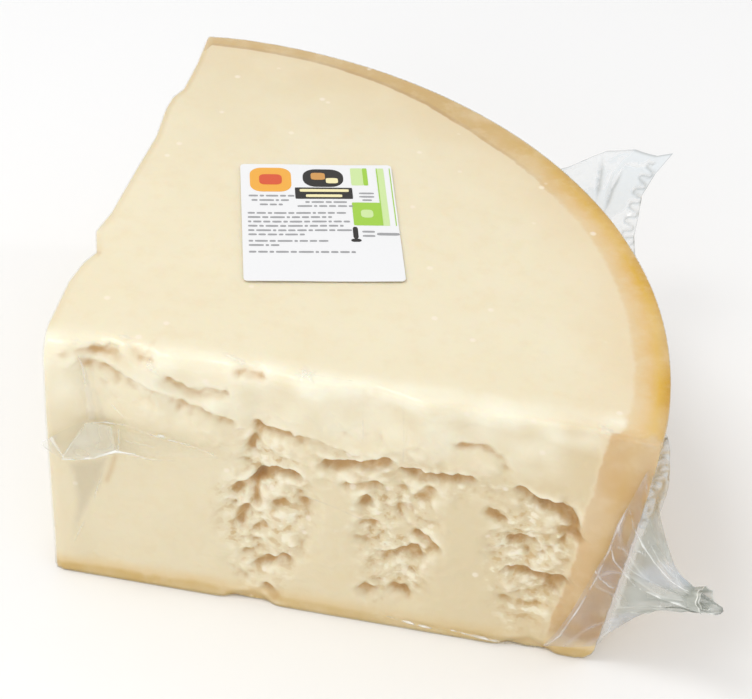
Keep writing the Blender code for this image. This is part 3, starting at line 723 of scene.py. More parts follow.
def make_node(tree, kind, inputs=None, **settings):
    """A node with its settings and inputs: a plain value, or the socket that feeds it."""
    made = tree.nodes.new(kind)
    for key, value in settings.items():
        setattr(made, key, value)
    for key, value in (inputs or {}).items():
        if isinstance(value, bpy.types.NodeSocket):
            tree.links.new(value, made.inputs[key])
        else:
            made.inputs[key].default_value = value
    return made


def calc(tree, operation, first, second=0.0, clamp=False):
    """The output of one calculation on two numbers."""
    made = make_node(
        tree, "ShaderNodeMath", {0: first, 1: second}, operation=operation, use_clamp=clamp
    )
    return made.outputs[0]


def between(tree, value, low, high):
    """0 where the value is below low, 1 above high, and an even curve between."""
    inputs = {"Value": value, "From Min": low, "From Max": high}
    made = make_node(tree, "ShaderNodeMapRange", inputs, interpolation_type='SMOOTHSTEP')
    return made.outputs["Result"]


def mixed(tree, share, first, second):
    """A mix of two colours."""
    made = make_node(tree, "ShaderNodeMix", {0: share, 6: first, 7: second}, data_type='RGBA')
    return made.outputs[2]


def mottle(tree, coords, size, detail=2.0, roughness=0.5, stretch=(1.0, 1.0, 1.0)):
    """Even noise from 0 to 1 whose patches are this many millimetres across."""
    scaled = make_node(tree, "ShaderNodeMapping", {"Vector": coords, "Scale": stretch})
    inputs = {
        "Vector": scaled.outputs[0], "Scale": 1.0 / (size * MM),
        "Detail": detail, "Roughness": roughness,
    }
    return make_node(tree, "ShaderNodeTexNoise", inputs).outputs[0]


def attribute(tree, name):
    """The number that each point of the mesh keeps under this name."""
    return make_node(tree, "ShaderNodeAttribute", attribute_name=name).outputs["Fac"]


def colour_steps(tree, value, steps):
    """A colour that goes through these steps, each a value and a colour, as a value grows."""
    highest = steps[-1][0]
    ramp = make_node(tree, "ShaderNodeValToRGB", {"Fac": calc(tree, 'DIVIDE', value, highest)})
    stops = ramp.color_ramp.elements
    while len(stops) < len(steps):
        stops.new(0.5)
    for stop, (place, colour) in zip(stops, steps):
        stop.position = place / highest
        stop.color = srgb(*colour)
    return ramp.outputs["Color"]


def new_material(name):
    """A material with one Principled shader, its node tree and the object's coordinates."""
    material = bpy.data.materials.new(name)
    material.use_nodes = True
    tree = material.node_tree
    shader = tree.nodes["Principled BSDF"]
    coords = make_node(tree, "ShaderNodeTexCoord").outputs["Object"]
    return material, tree, shader, coords


def set_inputs(shader, values):
    """Set inputs of the shader that are the same all over the surface."""
    for name, value in values.items():
        shader.inputs[name].default_value = value


def feed(tree, socket, shader, name):
    """Link a socket to one input of the shader."""
    tree.links.new(socket, shader.inputs[name])


def specks(tree, coords, spacing, share, size):
    """Small round specks: 1 on a speck and 0 elsewhere."""
    inputs = {"Vector": coords, "Scale": 1.0 / (spacing * MM)}
    cells = make_node(tree, "ShaderNodeTexVoronoi", inputs)
    chosen = calc(tree, 'GREATER_THAN', cells.outputs["Color"], 1.0 - share)
    near = between(tree, cells.outputs["Distance"], size / spacing, 0.4 * size / spacing)
    return calc(tree, 'MULTIPLY', chosen, near)


def rind_depth(tree, coords):
    """How far a place lies inside the rind, above the base and behind the wheel's centre."""
    centre = to_frame((WHEEL_CENTRE[0], WHEEL_CENTRE[1], 0.0))
    inputs = {0: coords, 1: tuple(centre)}
    from_centre = make_node(tree, "ShaderNodeVectorMath", inputs, operation='SUBTRACT')
    parts = make_node(tree, "ShaderNodeSeparateXYZ", {0: from_centre.outputs[0]}).outputs
    flat = make_node(
        tree, "ShaderNodeVectorMath", {0: from_centre.outputs[0], 1: (1.0, 1.0, 0.0)},
        operation='MULTIPLY',
    )
    radius = make_node(tree, "ShaderNodeVectorMath", {0: flat.outputs[0]}, operation='LENGTH')
    radius_mm = calc(tree, 'DIVIDE', radius.outputs["Value"], MM)
    height_mm = calc(tree, 'DIVIDE', parts[2], MM)
    behind_mm = calc(tree, 'DIVIDE', parts[1], MM)
    left_over = calc(tree, 'SUBTRACT', 1.0, calc(tree, 'DIVIDE', height_mm, HEIGHT), clamp=True)
    inset = calc(tree, 'MULTIPLY', calc(tree, 'POWER', left_over, BELLY_POWER), BELLY_INSET)
    rim = calc(tree, 'SUBTRACT', calc(tree, 'SUBTRACT', WHEEL_RADIUS, inset), radius_mm)
    return rim, height_mm, behind_mm


# Colours from the curved side's skin inwards and from the base up: depth in millimetres,
# then the colour
RIM_COLOURS = (
    (0.0, (204, 154, 6)), (4.5, (224, 178, 40)), (8.0, (230, 191, 118)),
    (12.5, (232, 204, 154)), (14.0, (238, 220, 184)), (40.0, (241, 230, 200)),
)
BASE_COLOURS = (
    (0.0, (196, 158, 62)), (3.4, (208, 172, 88)), (5.0, (230, 203, 148)),
    (9.0, (238, 220, 180)), (16.0, (241, 230, 200)),
)

# Body and gloss of the cheese
CHEESE_INPUTS = {
    "Subsurface Weight": 0.25,
    "Subsurface Radius": (1.0, 0.62, 0.3),
    "Subsurface Scale": 0.003,
    "Specular IOR Level": 0.3,
    "Coat Weight": 0.35,
    "Coat Roughness": 0.16,
}

# Where the cheese's colours change, in millimetres from the skin of the curved side, behind
# the wheel's centre, above the base or from the skin inwards over the whole piece
GOLDEN_BEHIND = (95.0, 175.0)
NARROWER_BEHIND = (135.0, 186.0)
TAN_BEHIND = (60.0, 190.0)
GOLDEN_FROM_RIM = (14.2, 13.4)
INNER_LINE_FROM_RIM = (11.6, 12.8)
DEEP_FROM_RIM = (14.5, 13.0)
INLAND_FROM_RIM = (13.0, 15.5)
NEAR_BASE = (11.0, 4.0)
RIND_END_TAN = (150.0, 30.0)

# Tints over them: how strong each gets, then its colour
CHEESE_TINTS = {
    "golden": (0.95, (198, 152, 48)),
    "inner_line": (0.6, (172, 122, 64)),
    "deep": (0.75, (212, 176, 122)),
    "back": (0.4, (222, 204, 164)),
    "patches": (0.25, (245, 237, 212)),
    "clouds": (0.3, (236, 218, 180)),
    "side": (1.0, (220, 200, 156)),
    # Painted shade between the crumbs of the broken bands, and painted light on the crumbs
    "crumb_gap_shade": (0.7, (206, 172, 112)),
    "painted_pale_light": (0.8, (254, 247, 224)),
    # Painted light on the peaks between crevices
    "peak_light": (0.8, (252, 245, 222)),
    # A painted highlight along the rounded top edge of the front side, and painted light on the lumps
    # under it
    "lip_light": (0.9, (255, 249, 228)),
    # Painted shade in crevices and along cracks
    "crevice_shade": (0.85, (194, 144, 58)),
    "dots": (0.75, (252, 240, 222)),
}


def tinted(tree, colour, name, where):
    """The colour with one of the cheese's tints over it, where a number is above 0."""
    strength, tint = CHEESE_TINTS[name]
    return mixed(tree, calc(tree, 'MULTIPLY', where, strength), colour, srgb(*tint))


def cheese_material():
    """Cream cheese body, tan towards the golden rind, with specks, painted shade in crevices, along cracks
    and between crumbs, and painted light on crumbs, peaks and the top edge.
    """
    material, tree, shader, coords = new_material("aged_cheese")
    rim, height, behind = rind_depth(tree, coords)
    wobble = calc(tree, 'MULTIPLY', calc(tree, 'SUBTRACT', mottle(tree, coords, 22.0), 0.5), 5.0)
    ragged = calc(tree, 'MULTIPLY', calc(tree, 'SUBTRACT', mottle(tree, coords, 3.0), 0.5), 2.0)
    uneven = calc(tree, 'ADD', wobble, ragged)
    side = attribute(tree, "side")
    far = between(tree, behind, *GOLDEN_BEHIND)
    narrower = calc(tree, 'MULTIPLY', between(tree, behind, *NARROWER_BEHIND), 5.5)
    wider = calc(tree, 'SUBTRACT', calc(tree, 'MULTIPLY', side, 4.5), narrower)
    calmer = calc(tree, 'SUBTRACT', 1.0, calc(tree, 'MULTIPLY', far, 0.7))
    uneven = calc(tree, 'MULTIPLY', uneven, calmer)
    from_rim = calc(tree, 'SUBTRACT', calc(tree, 'ADD', rim, uneven), wider)
    from_base = calc(tree, 'ADD', height, calc(tree, 'MULTIPLY', uneven, 0.6))
    colour = colour_steps(tree, from_rim, RIM_COLOURS)
    golden = calc(tree, 'MULTIPLY', far, between(tree, from_rim, *GOLDEN_FROM_RIM))
    colour = tinted(tree, colour, "golden", golden)
    line = between(tree, from_rim, *INNER_LINE_FROM_RIM)
    inner_line = calc(tree, 'MULTIPLY', golden, line)
    colour = tinted(tree, colour, "inner_line", inner_line)
    deep = calc(tree, 'MULTIPLY', side, between(tree, from_rim, *DEEP_FROM_RIM))
    colour = tinted(tree, colour, "deep", deep)
    base_colour = colour_steps(tree, from_base, BASE_COLOURS)
    near_base = between(tree, from_base, *NEAR_BASE)
    colour = mixed(tree, near_base, colour, base_colour)
    colour = tinted(tree, colour, "back", between(tree, behind, *TAN_BEHIND))
    patches = between(tree, mottle(tree, coords, 26.0, detail=3.0), 0.35, 0.7)
    colour = tinted(tree, colour, "patches", patches)
    clouds = between(tree, mottle(tree, coords, 7.0, detail=4.0, roughness=0.6), 0.45, 0.75)
    colour = tinted(tree, colour, "clouds", clouds)
    rind_end = between(tree, rim, *RIND_END_TAN)
    side_tan = calc(tree, 'ADD', calc(tree, 'MULTIPLY', rind_end, 0.4), 0.22)
    inland = between(tree, from_rim, *INLAND_FROM_RIM)
    side_tan = calc(tree, 'MULTIPLY', side_tan, inland)
    colour = tinted(tree, colour, "side", calc(tree, 'MULTIPLY', side, side_tan))
    crumbs = mottle(tree, coords, 5.0, detail=3.0, roughness=0.5, stretch=(1.0, 1.0, 1.3))
    crag = calc(tree, 'MULTIPLY', attribute(tree, "crag"), inland)
    # Painted shade between crumbs and painted light on them
    crumb_gap_shade = calc(tree, 'MULTIPLY', crag, between(tree, crumbs, 0.46, 0.36))
    colour = tinted(tree, colour, "crumb_gap_shade", crumb_gap_shade)
    painted_pale_light = calc(tree, 'MULTIPLY', crag, between(tree, crumbs, 0.52, 0.64))
    colour = tinted(tree, colour, "painted_pale_light", painted_pale_light)
    # Painted light on the peaks
    peak_light = calc(tree, 'MULTIPLY', attribute(tree, "peak_light"), inland)
    colour = tinted(tree, colour, "peak_light", peak_light)
    # A painted highlight along the rounded top edge, and painted light on the lumps under it
    lip_light = calc(tree, 'MULTIPLY', attribute(tree, "lip_light"), inland)
    colour = tinted(tree, colour, "lip_light", lip_light)
    # Painted shade in crevices and along cracks
    crevice_shade = attribute(tree, "crevice_shade")
    colour = tinted(tree, colour, "crevice_shade", crevice_shade)
    dots = specks(tree, coords, 9.0, 0.3, 1.6)
    colour = tinted(tree, colour, "dots", dots)
    feed(tree, colour, shader, "Base Color")
    set_inputs(shader, CHEESE_INPUTS)
    roughness = calc(tree, 'ADD', calc(tree, 'MULTIPLY', mottle(tree, coords, 5.0), 0.25), 0.35)
    feed(tree, roughness, shader, "Roughness")
    grain = mottle(tree, coords, 1.1, detail=4.0, roughness=0.6)
    pits = mottle(tree, coords, 4.0, detail=3.0)
    height_map = calc(tree, 'ADD', calc(tree, 'MULTIPLY', grain, 0.3), pits)
    bump = make_node(tree, "ShaderNodeBump", {
        "Strength": 0.35, "Distance": 0.0006, "Height": height_map,
    })
    feed(tree, bump.outputs[0], shader, "Normal")
    return material


# Looks of the films: colour, colour where shaded, how white at a slant as a painted reflection of the pale
# surround, and how wrinkled
FILMS = {
    "tight_clear_film": ((240, 238, 230), (208, 200, 180), 0.22, 0.3),
    "back_film": ((234, 241, 246), (176, 178, 176), 0.5, 0.25),
    "ear_film": ((200, 204, 197), (196, 186, 188), 0.4, 0.3),
    "curl_film": ((208, 212, 204), (150, 150, 164), 0.5, 0.3),
    "fold_film": ((226, 226, 214), (226, 226, 214), 0.25, 0.3),
}
COOL_TINT = (214, 221, 227)
HAZE_AND_SHEEN_TINT = (253, 253, 250)
LINE_TINT = (150, 152, 146)
FILM_IOR = 1.45
FILM_INPUTS = {"Roughness": 0.12, "Specular IOR Level": 1.0}


def film_material(name):
    """Clear film: a veil that is whiter on folds, partly its own haze and partly a painted highlight, and
    at a slant, as a painted reflection, with fine wrinkles.
    """
    tint, shaded_tint, slant_reflection, wrinkle = FILMS[name]
    material, tree, shader, coords = new_material(name)
    haze_and_sheen = attribute(tree, "haze_and_sheen")
    line = attribute(tree, "line")
    colour = mixed(tree, attribute(tree, "cool"), srgb(*tint), srgb(*COOL_TINT))
    colour = mixed(tree, attribute(tree, "shade"), colour, srgb(*shaded_tint))
    colour = mixed(tree, haze_and_sheen, colour, srgb(*HAZE_AND_SHEEN_TINT))
    colour = mixed(tree, line, colour, srgb(*LINE_TINT))
    feed(tree, colour, shader, "Base Color")
    slant = make_node(tree, "ShaderNodeFresnel", {"IOR": FILM_IOR}).outputs[0]
    opacity = calc(tree, 'ADD', calc(tree, 'MULTIPLY', haze_and_sheen, 0.85), attribute(tree, "veil"))
    opacity = calc(tree, 'ADD', opacity, calc(tree, 'MULTIPLY', line, 0.5))
    # Painted reflection: the film turns whiter and more opaque at a slant
    painted_slant_reflection = calc(tree, 'MULTIPLY', slant, slant_reflection)
    feed(tree, calc(tree, 'ADD', opacity, painted_slant_reflection, clamp=True), shader, "Alpha")
    set_inputs(shader, FILM_INPUTS)
    creases = mottle(tree, coords, 9.0, detail=3.0, roughness=0.45)
    bump = make_node(tree, "ShaderNodeBump", {
        "Strength": wrinkle, "Distance": 0.001, "Height": creases,
    })
    feed(tree, bump.outputs[0], shader, "Normal")
    return material


def film_fields(mesh, haze_and_sheen, line=0.0, shade=0.0, veil=0.0, cool=0.0):
    """Keep what film_material reads: folds' whiteness, partly a painted highlight, dark lines, shade, veil
    and coolness.
    """
    none = np.zeros(len(mesh.vertices))
    set_attribute(mesh, "haze_and_sheen", np.clip(none + haze_and_sheen, 0.0, 1.0))
    set_attribute(mesh, "line", none + line)
    set_attribute(mesh, "shade", none + shade)
    set_attribute(mesh, "veil", none + veil)
    set_attribute(mesh, "cool", none + cool)


def print_material(name, colour):
    """Printed ink on paper: a flat colour with a slight grain."""
    material, tree, shader, coords = new_material(name)
    grain = mottle(tree, coords, 0.6, detail=3.0)
    paler = tuple(min(1.0, 1.25 * value + 0.02) for value in colour[:3])
    share = calc(tree, 'MULTIPLY', grain, 0.25)
    feed(tree, mixed(tree, share, colour, (*paler, 1.0)), shader, "Base Color")
    shader.inputs["Roughness"].default_value = 0.4
    bump = make_node(tree, "ShaderNodeBump", {
        "Strength": 0.1, "Distance": 0.0002, "Height": grain,
    })
    feed(tree, bump.outputs[0], shader, "Normal")
    return material


# Cheese

# A painted streak of amber shade next to the folded corner, in pixels
AMBER_SHADE_STREAK = ((115, 457), (111, 470), (107, 480))


def side_shares(points, front, left):
    """How much each point belongs to the front side and to the left side."""
    behind = points[:, 1] - sample(front["depth"], points[:, 0], points[:, 2])
    on_front_side = 1.0 - smooth_step(behind, 1.0, 3.0)
    behind = points[:, 0] - LEFT_PLANE - sample(left["depth"], points[:, 1], points[:, 2])
    on_left_side = 1.0 - smooth_step(behind, 1.0, 3.0)
    return on_front_side, on_left_side


def side_field(name, points, front, left):
    """A grid's value on the front and left side, and 0 elsewhere."""
    on_front_side, on_left_side = side_shares(points, front, left)
    value = on_front_side * sample(front[name], points[:, 0], points[:, 2])
    return value + on_left_side * sample(left[name], points[:, 1], points[:, 2])


def crack_shade(points):
    """Painted shade along the cracks of the front side, tan, patchy and soft, with a painted amber streak
    of shade beside the folded corner.
    """
    on_side = 1.0 - smooth_step(points[:, 1], 14.0, 18.0)
    x = points[:, 0] + 1.6 * noise_field(points, 6.0, 95.0)
    z = points[:, 2] + 1.6 * noise_field(points, 6.0, 96.0)
    cracked = crack_sum(x, z, FRONT_CRACKS[:-1])
    patchy = 0.75 + 0.9 * noise_field(points, 5.0, 97.0)
    painted_crack_shade = 0.9 * np.clip(patchy, 0.1, 1.0) * smooth_step(cracked, 0.9, 3.6)
    streak, _ = line_distance(*photo_pixels(points), AMBER_SHADE_STREAK)
    return on_side * np.maximum(painted_crack_shade, 0.4 * np.exp(-(streak / 2.8) ** 2))


def crag_share(points):
    """1 in the broken bands of the two sides and 0 elsewhere, with a ragged edge."""
    uneven = 0.35 + 1.3 * noise_field(points, PATCH_SIZE, 91.0)
    share = np.zeros(len(points))
    for across, bands in ((0, FRONT_BANDS), (1, LEFT_BANDS)):
        on_side = 1.0 - smooth_step(points[:, 1 - across], 14.0, 18.0)
        for band in bands:
            inside = band_mask(points[:, across], points[:, 2], band) * band[3]
            share = np.maximum(share, on_side * inside)
    return np.clip(share * (0.6 + uneven), 0.0, 1.0)


def cheese_wedge(block, front, left):
    """The wedge of cheese itself."""
    points, normals = mesh_arrays(block)
    mesh = block.copy()
    set_points(mesh, break_sides(points, normals, front["depth"], left["depth"]))
    mesh = fewer_triangles(mesh, CHEESE_TRIANGLES)
    points, _ = mesh_arrays(mesh)
    # Painted shade in crevices and along the cracks, from how hollow the surface is
    crevice_shade = side_field("crevice_shade", points, front, left)
    hollow = side_field("hollow", points, front, left)
    painted_crack_shade = crack_shade(points)
    crevice_shade_share = smooth_step(0.9 * crevice_shade + 0.35 * hollow, 0.2, 1.8)
    set_attribute(mesh, "crevice_shade", np.maximum(crevice_shade_share, painted_crack_shade))
    # Painted light on the peaks
    set_attribute(mesh, "peak_light", smooth_step(-0.9 * crevice_shade - 0.3 * hollow, 0.1, 1.2))
    set_attribute(mesh, "side", np.clip(sum(side_shares(points, front, left)), 0.0, 1.0))
    # A painted highlight along the rounded top edge, and painted light on the lumps under it
    lip_light = 1.0 - smooth_step(points[:, 1] + HEIGHT - points[:, 2], 8.0, 15.0)
    lumps_light_under_lip = smooth_step(points[:, 2], 76.0, 90.0) * (1.0 - smooth_step(points[:, 1], 8.0, 16.0))
    lumps_light_under_lip *= 1.0 - smooth_step(points[:, 0], 165.0, 185.0)
    lip_light = np.maximum(lip_light, 0.75 * lumps_light_under_lip)
    lip_light *= 0.7 + 0.6 * noise_field(points, 9.0, 71.0)
    set_attribute(mesh, "lip_light", np.clip(lip_light, 0.0, 1.0))
    set_attribute(mesh, "crag", crag_share(points))
    return finish_piece("cheese_wedge", mesh, cheese_material(), "cheese")


# Film

# Creases of the tight film, as the photograph shows them: how far they stand up, half
# width, how white they are, then their pixels
# Their whiteness is partly creased film and partly a painted highlight
SKIN_CREASES = (
    (0.4, 0.45, 0.8, ((87, 423), (105, 422), (125, 425), (150, 434), (164, 438), (190, 445), (214, 455))),
    (0.3, 0.7, 1.0, ((119, 423), (127, 425))),
    (0.3, 0.7, 1.0, ((158, 435), (166, 437))),
    (0.3, 0.4, 0.7, ((111, 404), (123, 416), (136, 426))),
    (0.3, 0.5, 0.6, ((78, 356), (83, 368), (85, 384))),
    (0.3, 0.4, 0.5, ((116, 453), (135, 455), (150, 459), (175, 461))),
    (0.2, 0.5, 0.4, ((118, 440), (119, 452))),
    (0.2, 0.4, 0.4, ((122, 440), (155, 447))),
    (0.2, 0.4, 0.3, ((103, 470), (92, 505), (70, 550))),
    (0.2, 0.3, 0.35, ((300, 494), (330, 505), (372, 524))),
    (0.2, 0.3, 0.3, ((403, 391), (404, 430), (403, 470))),
    (0.2, 0.3, 0.25, ((363, 402), (363, 440))),
    (0.3, 0.35, 0.6, ((305, 374), (330, 378), (352, 381))),
    (0.4, 0.5, 0.9, ((387, 616), (415, 624), (440, 630))),
    (0.5, 0.6, 1.0, ((451, 630), (480, 637), (530, 648), (562, 657))),
    (0.3, 0.5, 0.7, ((534, 646), (545, 652), (556, 659))),
    (0.3, 0.4, 0.5, ((603, 572), (612, 583), (620, 588))),
)

# Small tents where the film stands off the cheese: how high, then the outline in pixels
SKIN_TENTS = (
    (1.0, ((294, 376), (301, 372), (304, 366), (308, 372), (316, 372), (311, 377), (314, 383),
           (305, 380), (298, 384), (299, 378))),
    (1.0, ((224, 353), (236, 357), (245, 362), (243, 366), (233, 361), (225, 357))),
    (1.0, ((145, 366), (150, 358), (153, 362), (158, 373), (159, 376), (151, 371))),
    (0.9, ((118, 336), (124, 335), (132, 339), (124, 340))),
    (0.9, ((126, 343), (131, 343), (130, 347), (127, 347))),
    (0.6, ((71, 340), (78, 339), (80, 342), (73, 343))),
    (0.9, ((598, 424), (606, 427), (619, 435), (612, 436), (602, 434))),
    (0.6, ((637, 441), (650, 444), (655, 447), (645, 446))),
)


# How much paler the film is where it stands a millimetre off the cheese, partly the film's own paleness
# and partly a painted highlight
TENT_VEIL = 0.35

# Opacity of the tight film, and how much more it has where it is grey
SKIN_VEIL = 0.04
GREY_VEIL = 0.2
PALE_VEIL = 0.22

# Where the tight film looks greyer, and a paler strip of it that is a painted sheen, in pixels
GREY_PATCHES = (
    ((68, 462), (88, 460), (108, 456), (103, 478), (84, 515), (72, 540), (76, 500)),
    ((93, 386), (99, 394), (108, 421), (99, 421)),
)
PALE_STRIP = ((79, 357), (83, 361), (91, 386), (97, 421), (87, 422), (85, 400))


def ridge_share(distance, half_width, uneven):
    """How far a place belongs to a thin ridge that is ragged and now and then breaks off."""
    ridge = np.exp(-(distance / half_width) ** 2)
    return smooth_step(ridge * uneven, 0.3, 0.7)


def taper(points, x, y):
    """1 along the middle of a polyline of pixels and 0 at its two ends."""
    ends = np.array((points[0], points[-1]), float)
    near = np.min([np.hypot(x - end[0], y - end[1]) for end in ends], axis=0)
    reach = 0.3 * np.hypot(*(ends[1] - ends[0]))
    return 0.35 + 0.65 * smooth_step(near, 0.0, reach)


def crease_fields(points, creases, faintest=0.12):
    """Height and whiteness of creases that are given by their pixels; the whiteness is partly creased film
    and partly a painted highlight.
    """
    x, y = photo_pixels(points)
    uneven = 0.8 + 0.7 * noise_field(points, 3.1, 81.0)
    patchy = np.clip(0.5 + 1.5 * noise_field(points, 11.0, 89.0), faintest, 1.0)
    height = np.zeros(len(x))
    haze_and_sheen = np.zeros(len(x))
    for rise, half_width, white, pixels in creases:
        distance, _ = line_distance(x, y, pixels)
        slim = taper(pixels, x, y)
        half_pixels = 2.6 * half_width * slim
        height = np.maximum(height, rise * slim * np.exp(-(distance / half_pixels) ** 2))
        haze_and_sheen = np.maximum(haze_and_sheen, patchy * white * ridge_share(distance, half_pixels, uneven))
    return height, haze_and_sheen


def inside_outline(x, y, outline):
    """How far points lie inside an outline, in pixels, and below 0 outside it."""
    closed = outline + (outline[0],)
    distance, _ = line_distance(x, y, closed)
    inside = np.zeros(len(x), bool)
    for (x0, y0), (x1, y1) in zip(closed[:-1], closed[1:]):
        if y0 != y1:
            crosses = (y0 > y) != (y1 > y)
            inside ^= crosses & (x < x0 + (y - y0) / (y1 - y0) * (x1 - x0))
    return np.where(inside, distance, -distance)


def tent_field(points):
    """How far the tight film's small crumpled tents stand off the cheese."""
    x, y = photo_pixels(points)
    crumpled = 0.5 + 0.5 * crumple(points, 2.4, 83.0)
    height = np.zeros(len(x))
    for rise, outline in SKIN_TENTS:
        inside = smooth_step(inside_outline(x, y, outline), -2.0, 3.0)
        height = np.maximum(height, rise * inside)
    return height * (0.4 + 0.6 * crumpled)


def drawn_fields(points):
    """Height and whiteness of the creases and tents of the tight film; the whiteness is partly the film's
    own and partly a painted highlight.
    """
    height, haze_and_sheen = crease_fields(points, SKIN_CREASES)
    tents = tent_field(points)
    return height + tents, np.maximum(haze_and_sheen, TENT_VEIL * tents)


def split_near(mesh, wanted, longest, rounds):
    """Split the long edges of a mesh where wanted(points, normals) is above 0."""
    for _ in range(rounds):
        points, normals = mesh_arrays(mesh)
        chosen = wanted(points, normals) > 0.0
        with editing(mesh) as bm:
            edges = [
                edge for edge in bm.edges
                if edge.calc_length() > longest
                and any(chosen[vert.index] for vert in edge.verts)
            ]
            bmesh.ops.subdivide_edges(bm, edges=edges, cuts=1)
            bmesh.ops.triangulate(bm, faces=bm.faces)
    return mesh


def near_drawing(points, normals):
    """Above 0 where a crease or a tent of the film is near, on the front side."""
    x, y = photo_pixels(points)
    near = np.full(len(x), -1.0)
    for _, half_width, _, pixels in SKIN_CREASES:
        distance, _ = line_distance(x, y, pixels)
        near = np.maximum(near, 2.6 * half_width * 1.5 + 1.5 - distance)
    for _, outline in SKIN_TENTS:
        near = np.maximum(near, inside_outline(x, y, outline) + 3.0)
    return np.where(front_share(points, normals) > 0.0, near, -1.0)


def edge_wrinkles(points):
    """Fine folds of the tight film round the foot and the back of the cheese."""
    out = np.hypot(points[:, 0] - WHEEL_CENTRE[0], points[:, 1] - WHEEL_CENTRE[1])
    curved = smooth_step(out, WHEEL_RADIUS - 16.0, WHEEL_RADIUS - 8.0)
    low = 1.0 - smooth_step(points[:, 2], 4.0, 30.0)
    turn = np.arctan2(points[:, 1] - WHEEL_CENTRE[1], points[:, 0] - WHEEL_CENTRE[0])
    streaks = np.column_stack((turn * 60.0, points[:, 2] * 0.25, 0.1 * out))
    folds = 1.0 - 4.0 * np.abs(noise_field(streaks, 4.0, 85.0))
    return curved * low * smooth_step(folds, 0.4, 1.0)


def tight_film(block, front, left):
    """The part of the bag that the vacuum holds against the cheese."""
    points, normals = mesh_arrays(block)
    mesh = block.copy()
    set_points(mesh, break_sides(points, normals, front["film"], left["film"]))
    mesh = fewer_triangles(mesh, SKIN_TRIANGLES)
    points, normals = mesh_arrays(mesh)
    set_points(mesh, points + SKIN_GAP * normals)
    mesh = split_near(mesh, near_drawing, SKIN_DETAIL, 2)
    points, normals = mesh_arrays(mesh)
    on_front_side = front_share(points, normals)
    height, haze_and_sheen = drawn_fields(points)
    folds = edge_wrinkles(points) * (1.0 - on_front_side)
    moved = points + normals * (on_front_side * height + 0.4 * folds)[:, None]
    moved[:, 2] = np.clip(moved[:, 2], 0.02, None)
    set_points(mesh, moved)
    x, y = photo_pixels(points)
    grey = np.zeros(len(points))
    for outline in GREY_PATCHES:
        grey = np.maximum(grey, smooth_step(inside_outline(x, y, outline), -3.0, 7.0))
    painted_pale_light = smooth_step(inside_outline(x, y, PALE_STRIP), -1.0, 2.5)
    grey *= on_front_side
    # A painted sheen on the pale strip, and whiteness on the fine folds that is partly creased film and
    # partly a painted highlight
    haze_and_sheen = haze_and_sheen + PALE_VEIL * painted_pale_light
    haze_and_sheen = haze_and_sheen * on_front_side + 0.3 * folds
    film_fields(mesh, haze_and_sheen, shade=grey, veil=SKIN_VEIL + GREY_VEIL * grey)
    return finish_piece("tight_film", mesh, film_material("tight_clear_film"))


def outside_block(point, gap):
    """The point, moved out if it lies nearer to the plain block than the gap."""
    radius_here = WHEEL_RADIUS - float(rim_inset(point.z))
    out = Vector((point.x - WHEEL_CENTRE[0], point.y - WHEEL_CENTRE[1]))
    beyond_rim = out.length - radius_here
    beyond_front = -point.y
    beyond_left = LEFT_PLANE - point.x
    farthest = max(beyond_rim, beyond_front, beyond_left)
    if farthest >= gap:
        return point
    moved = point.copy()
    if farthest == beyond_front:
        moved.y = -gap
    elif farthest == beyond_rim:
        out = out.normalized() * (radius_here + gap)
        moved.x = WHEEL_CENTRE[0] + out.x
        moved.y = WHEEL_CENTRE[1] + out.y
    else:
        moved.x = LEFT_PLANE - gap
    return moved


def along(points, t):
    """A point at share t of the way along a polyline, by its length."""
    points = [Vector(point) for point in points]
    lengths = [(b - a).length for a, b in zip(points[:-1], points[1:])]
    left = t * sum(lengths)
    for start, end, length in zip(points[:-1], points[1:], lengths):
        if left <= length:
            return start.lerp(end, left / length)
        left -= length
    return points[-1]


def film_grid(columns, rows, place, closed=False):
    """A sheet whose points place(u, v) gives, and which keeps u as across and v as outward."""
    mesh = bpy.data.meshes.new("film_grid")
    with editing(mesh) as bm:
        bmesh.ops.create_grid(bm, x_segments=columns, y_segments=rows, size=0.5)
        for vert in bm.verts:
            vert.co.x += 0.5
            vert.co.y += 0.5
    flat, _ = mesh_arrays(mesh)
    set_points(mesh, [place(u, v) for u, v, _ in flat])
    set_attribute(mesh, "across", flat[:, 0])
    set_attribute(mesh, "outward", flat[:, 1])
    if closed:
        with editing(mesh) as bm:
            bmesh.ops.remove_doubles(bm, verts=bm.verts, dist=TOUCH)
    return mesh


def read_attribute(mesh, name):
    """The numbers that a mesh's points keep under this name."""
    values = np.empty(len(mesh.vertices))
    mesh.attributes[name].data.foreach_get("value", values)
    return values


def crumple(points, size, seed):
    """Sharp-edged crumples of film, highest at 1, about this many millimetres across."""
    return 1.0 - np.abs(noise_field(points, size, seed)) * 2.0


def meander(points, swing, loops):
    """A line that winds about a polyline in square loops, for the ribbed seal."""
    line = []
    steps = 10 * loops
    for step in range(steps + 1):
        t = step / steps
        here = along(points, t)
        ahead = along(points, min(1.0, t + 0.01)) - along(points, max(0.0, t - 0.01))
        across = Vector((-ahead.y, ahead.x)).normalized()
        wave = math.tanh(2.2 * math.sin(2.0 * math.pi * loops * t))
        line.append(tuple(here + across * swing * wave))
    return tuple(line)


# The ribbed seal of the back ear in the photograph, its swing in pixels and its loops
SEAL_LINE = ((653, 163), (640, 185), (634, 205), (630, 218), (626, 232), (631, 243))
SEAL_SWING = 5.0
SEAL_LOOPS = 6

# Creases of the back ear: height, half width, whiteness, pixels
# Their whiteness is partly creased film and partly a painted highlight
SEAM_CREASES = (
    (0.8, 0.9, 0.0, ((602, 155), (600, 175), (596, 200))),
    (0.8, 0.9, 0.0, ((622, 170), (612, 188), (604, 212))),
    (0.6, 0.9, 0.3, ((626, 165), (640, 167), (655, 163))),
    (0.6, 0.8, 0.2, ((612, 172), (603, 200))),
)


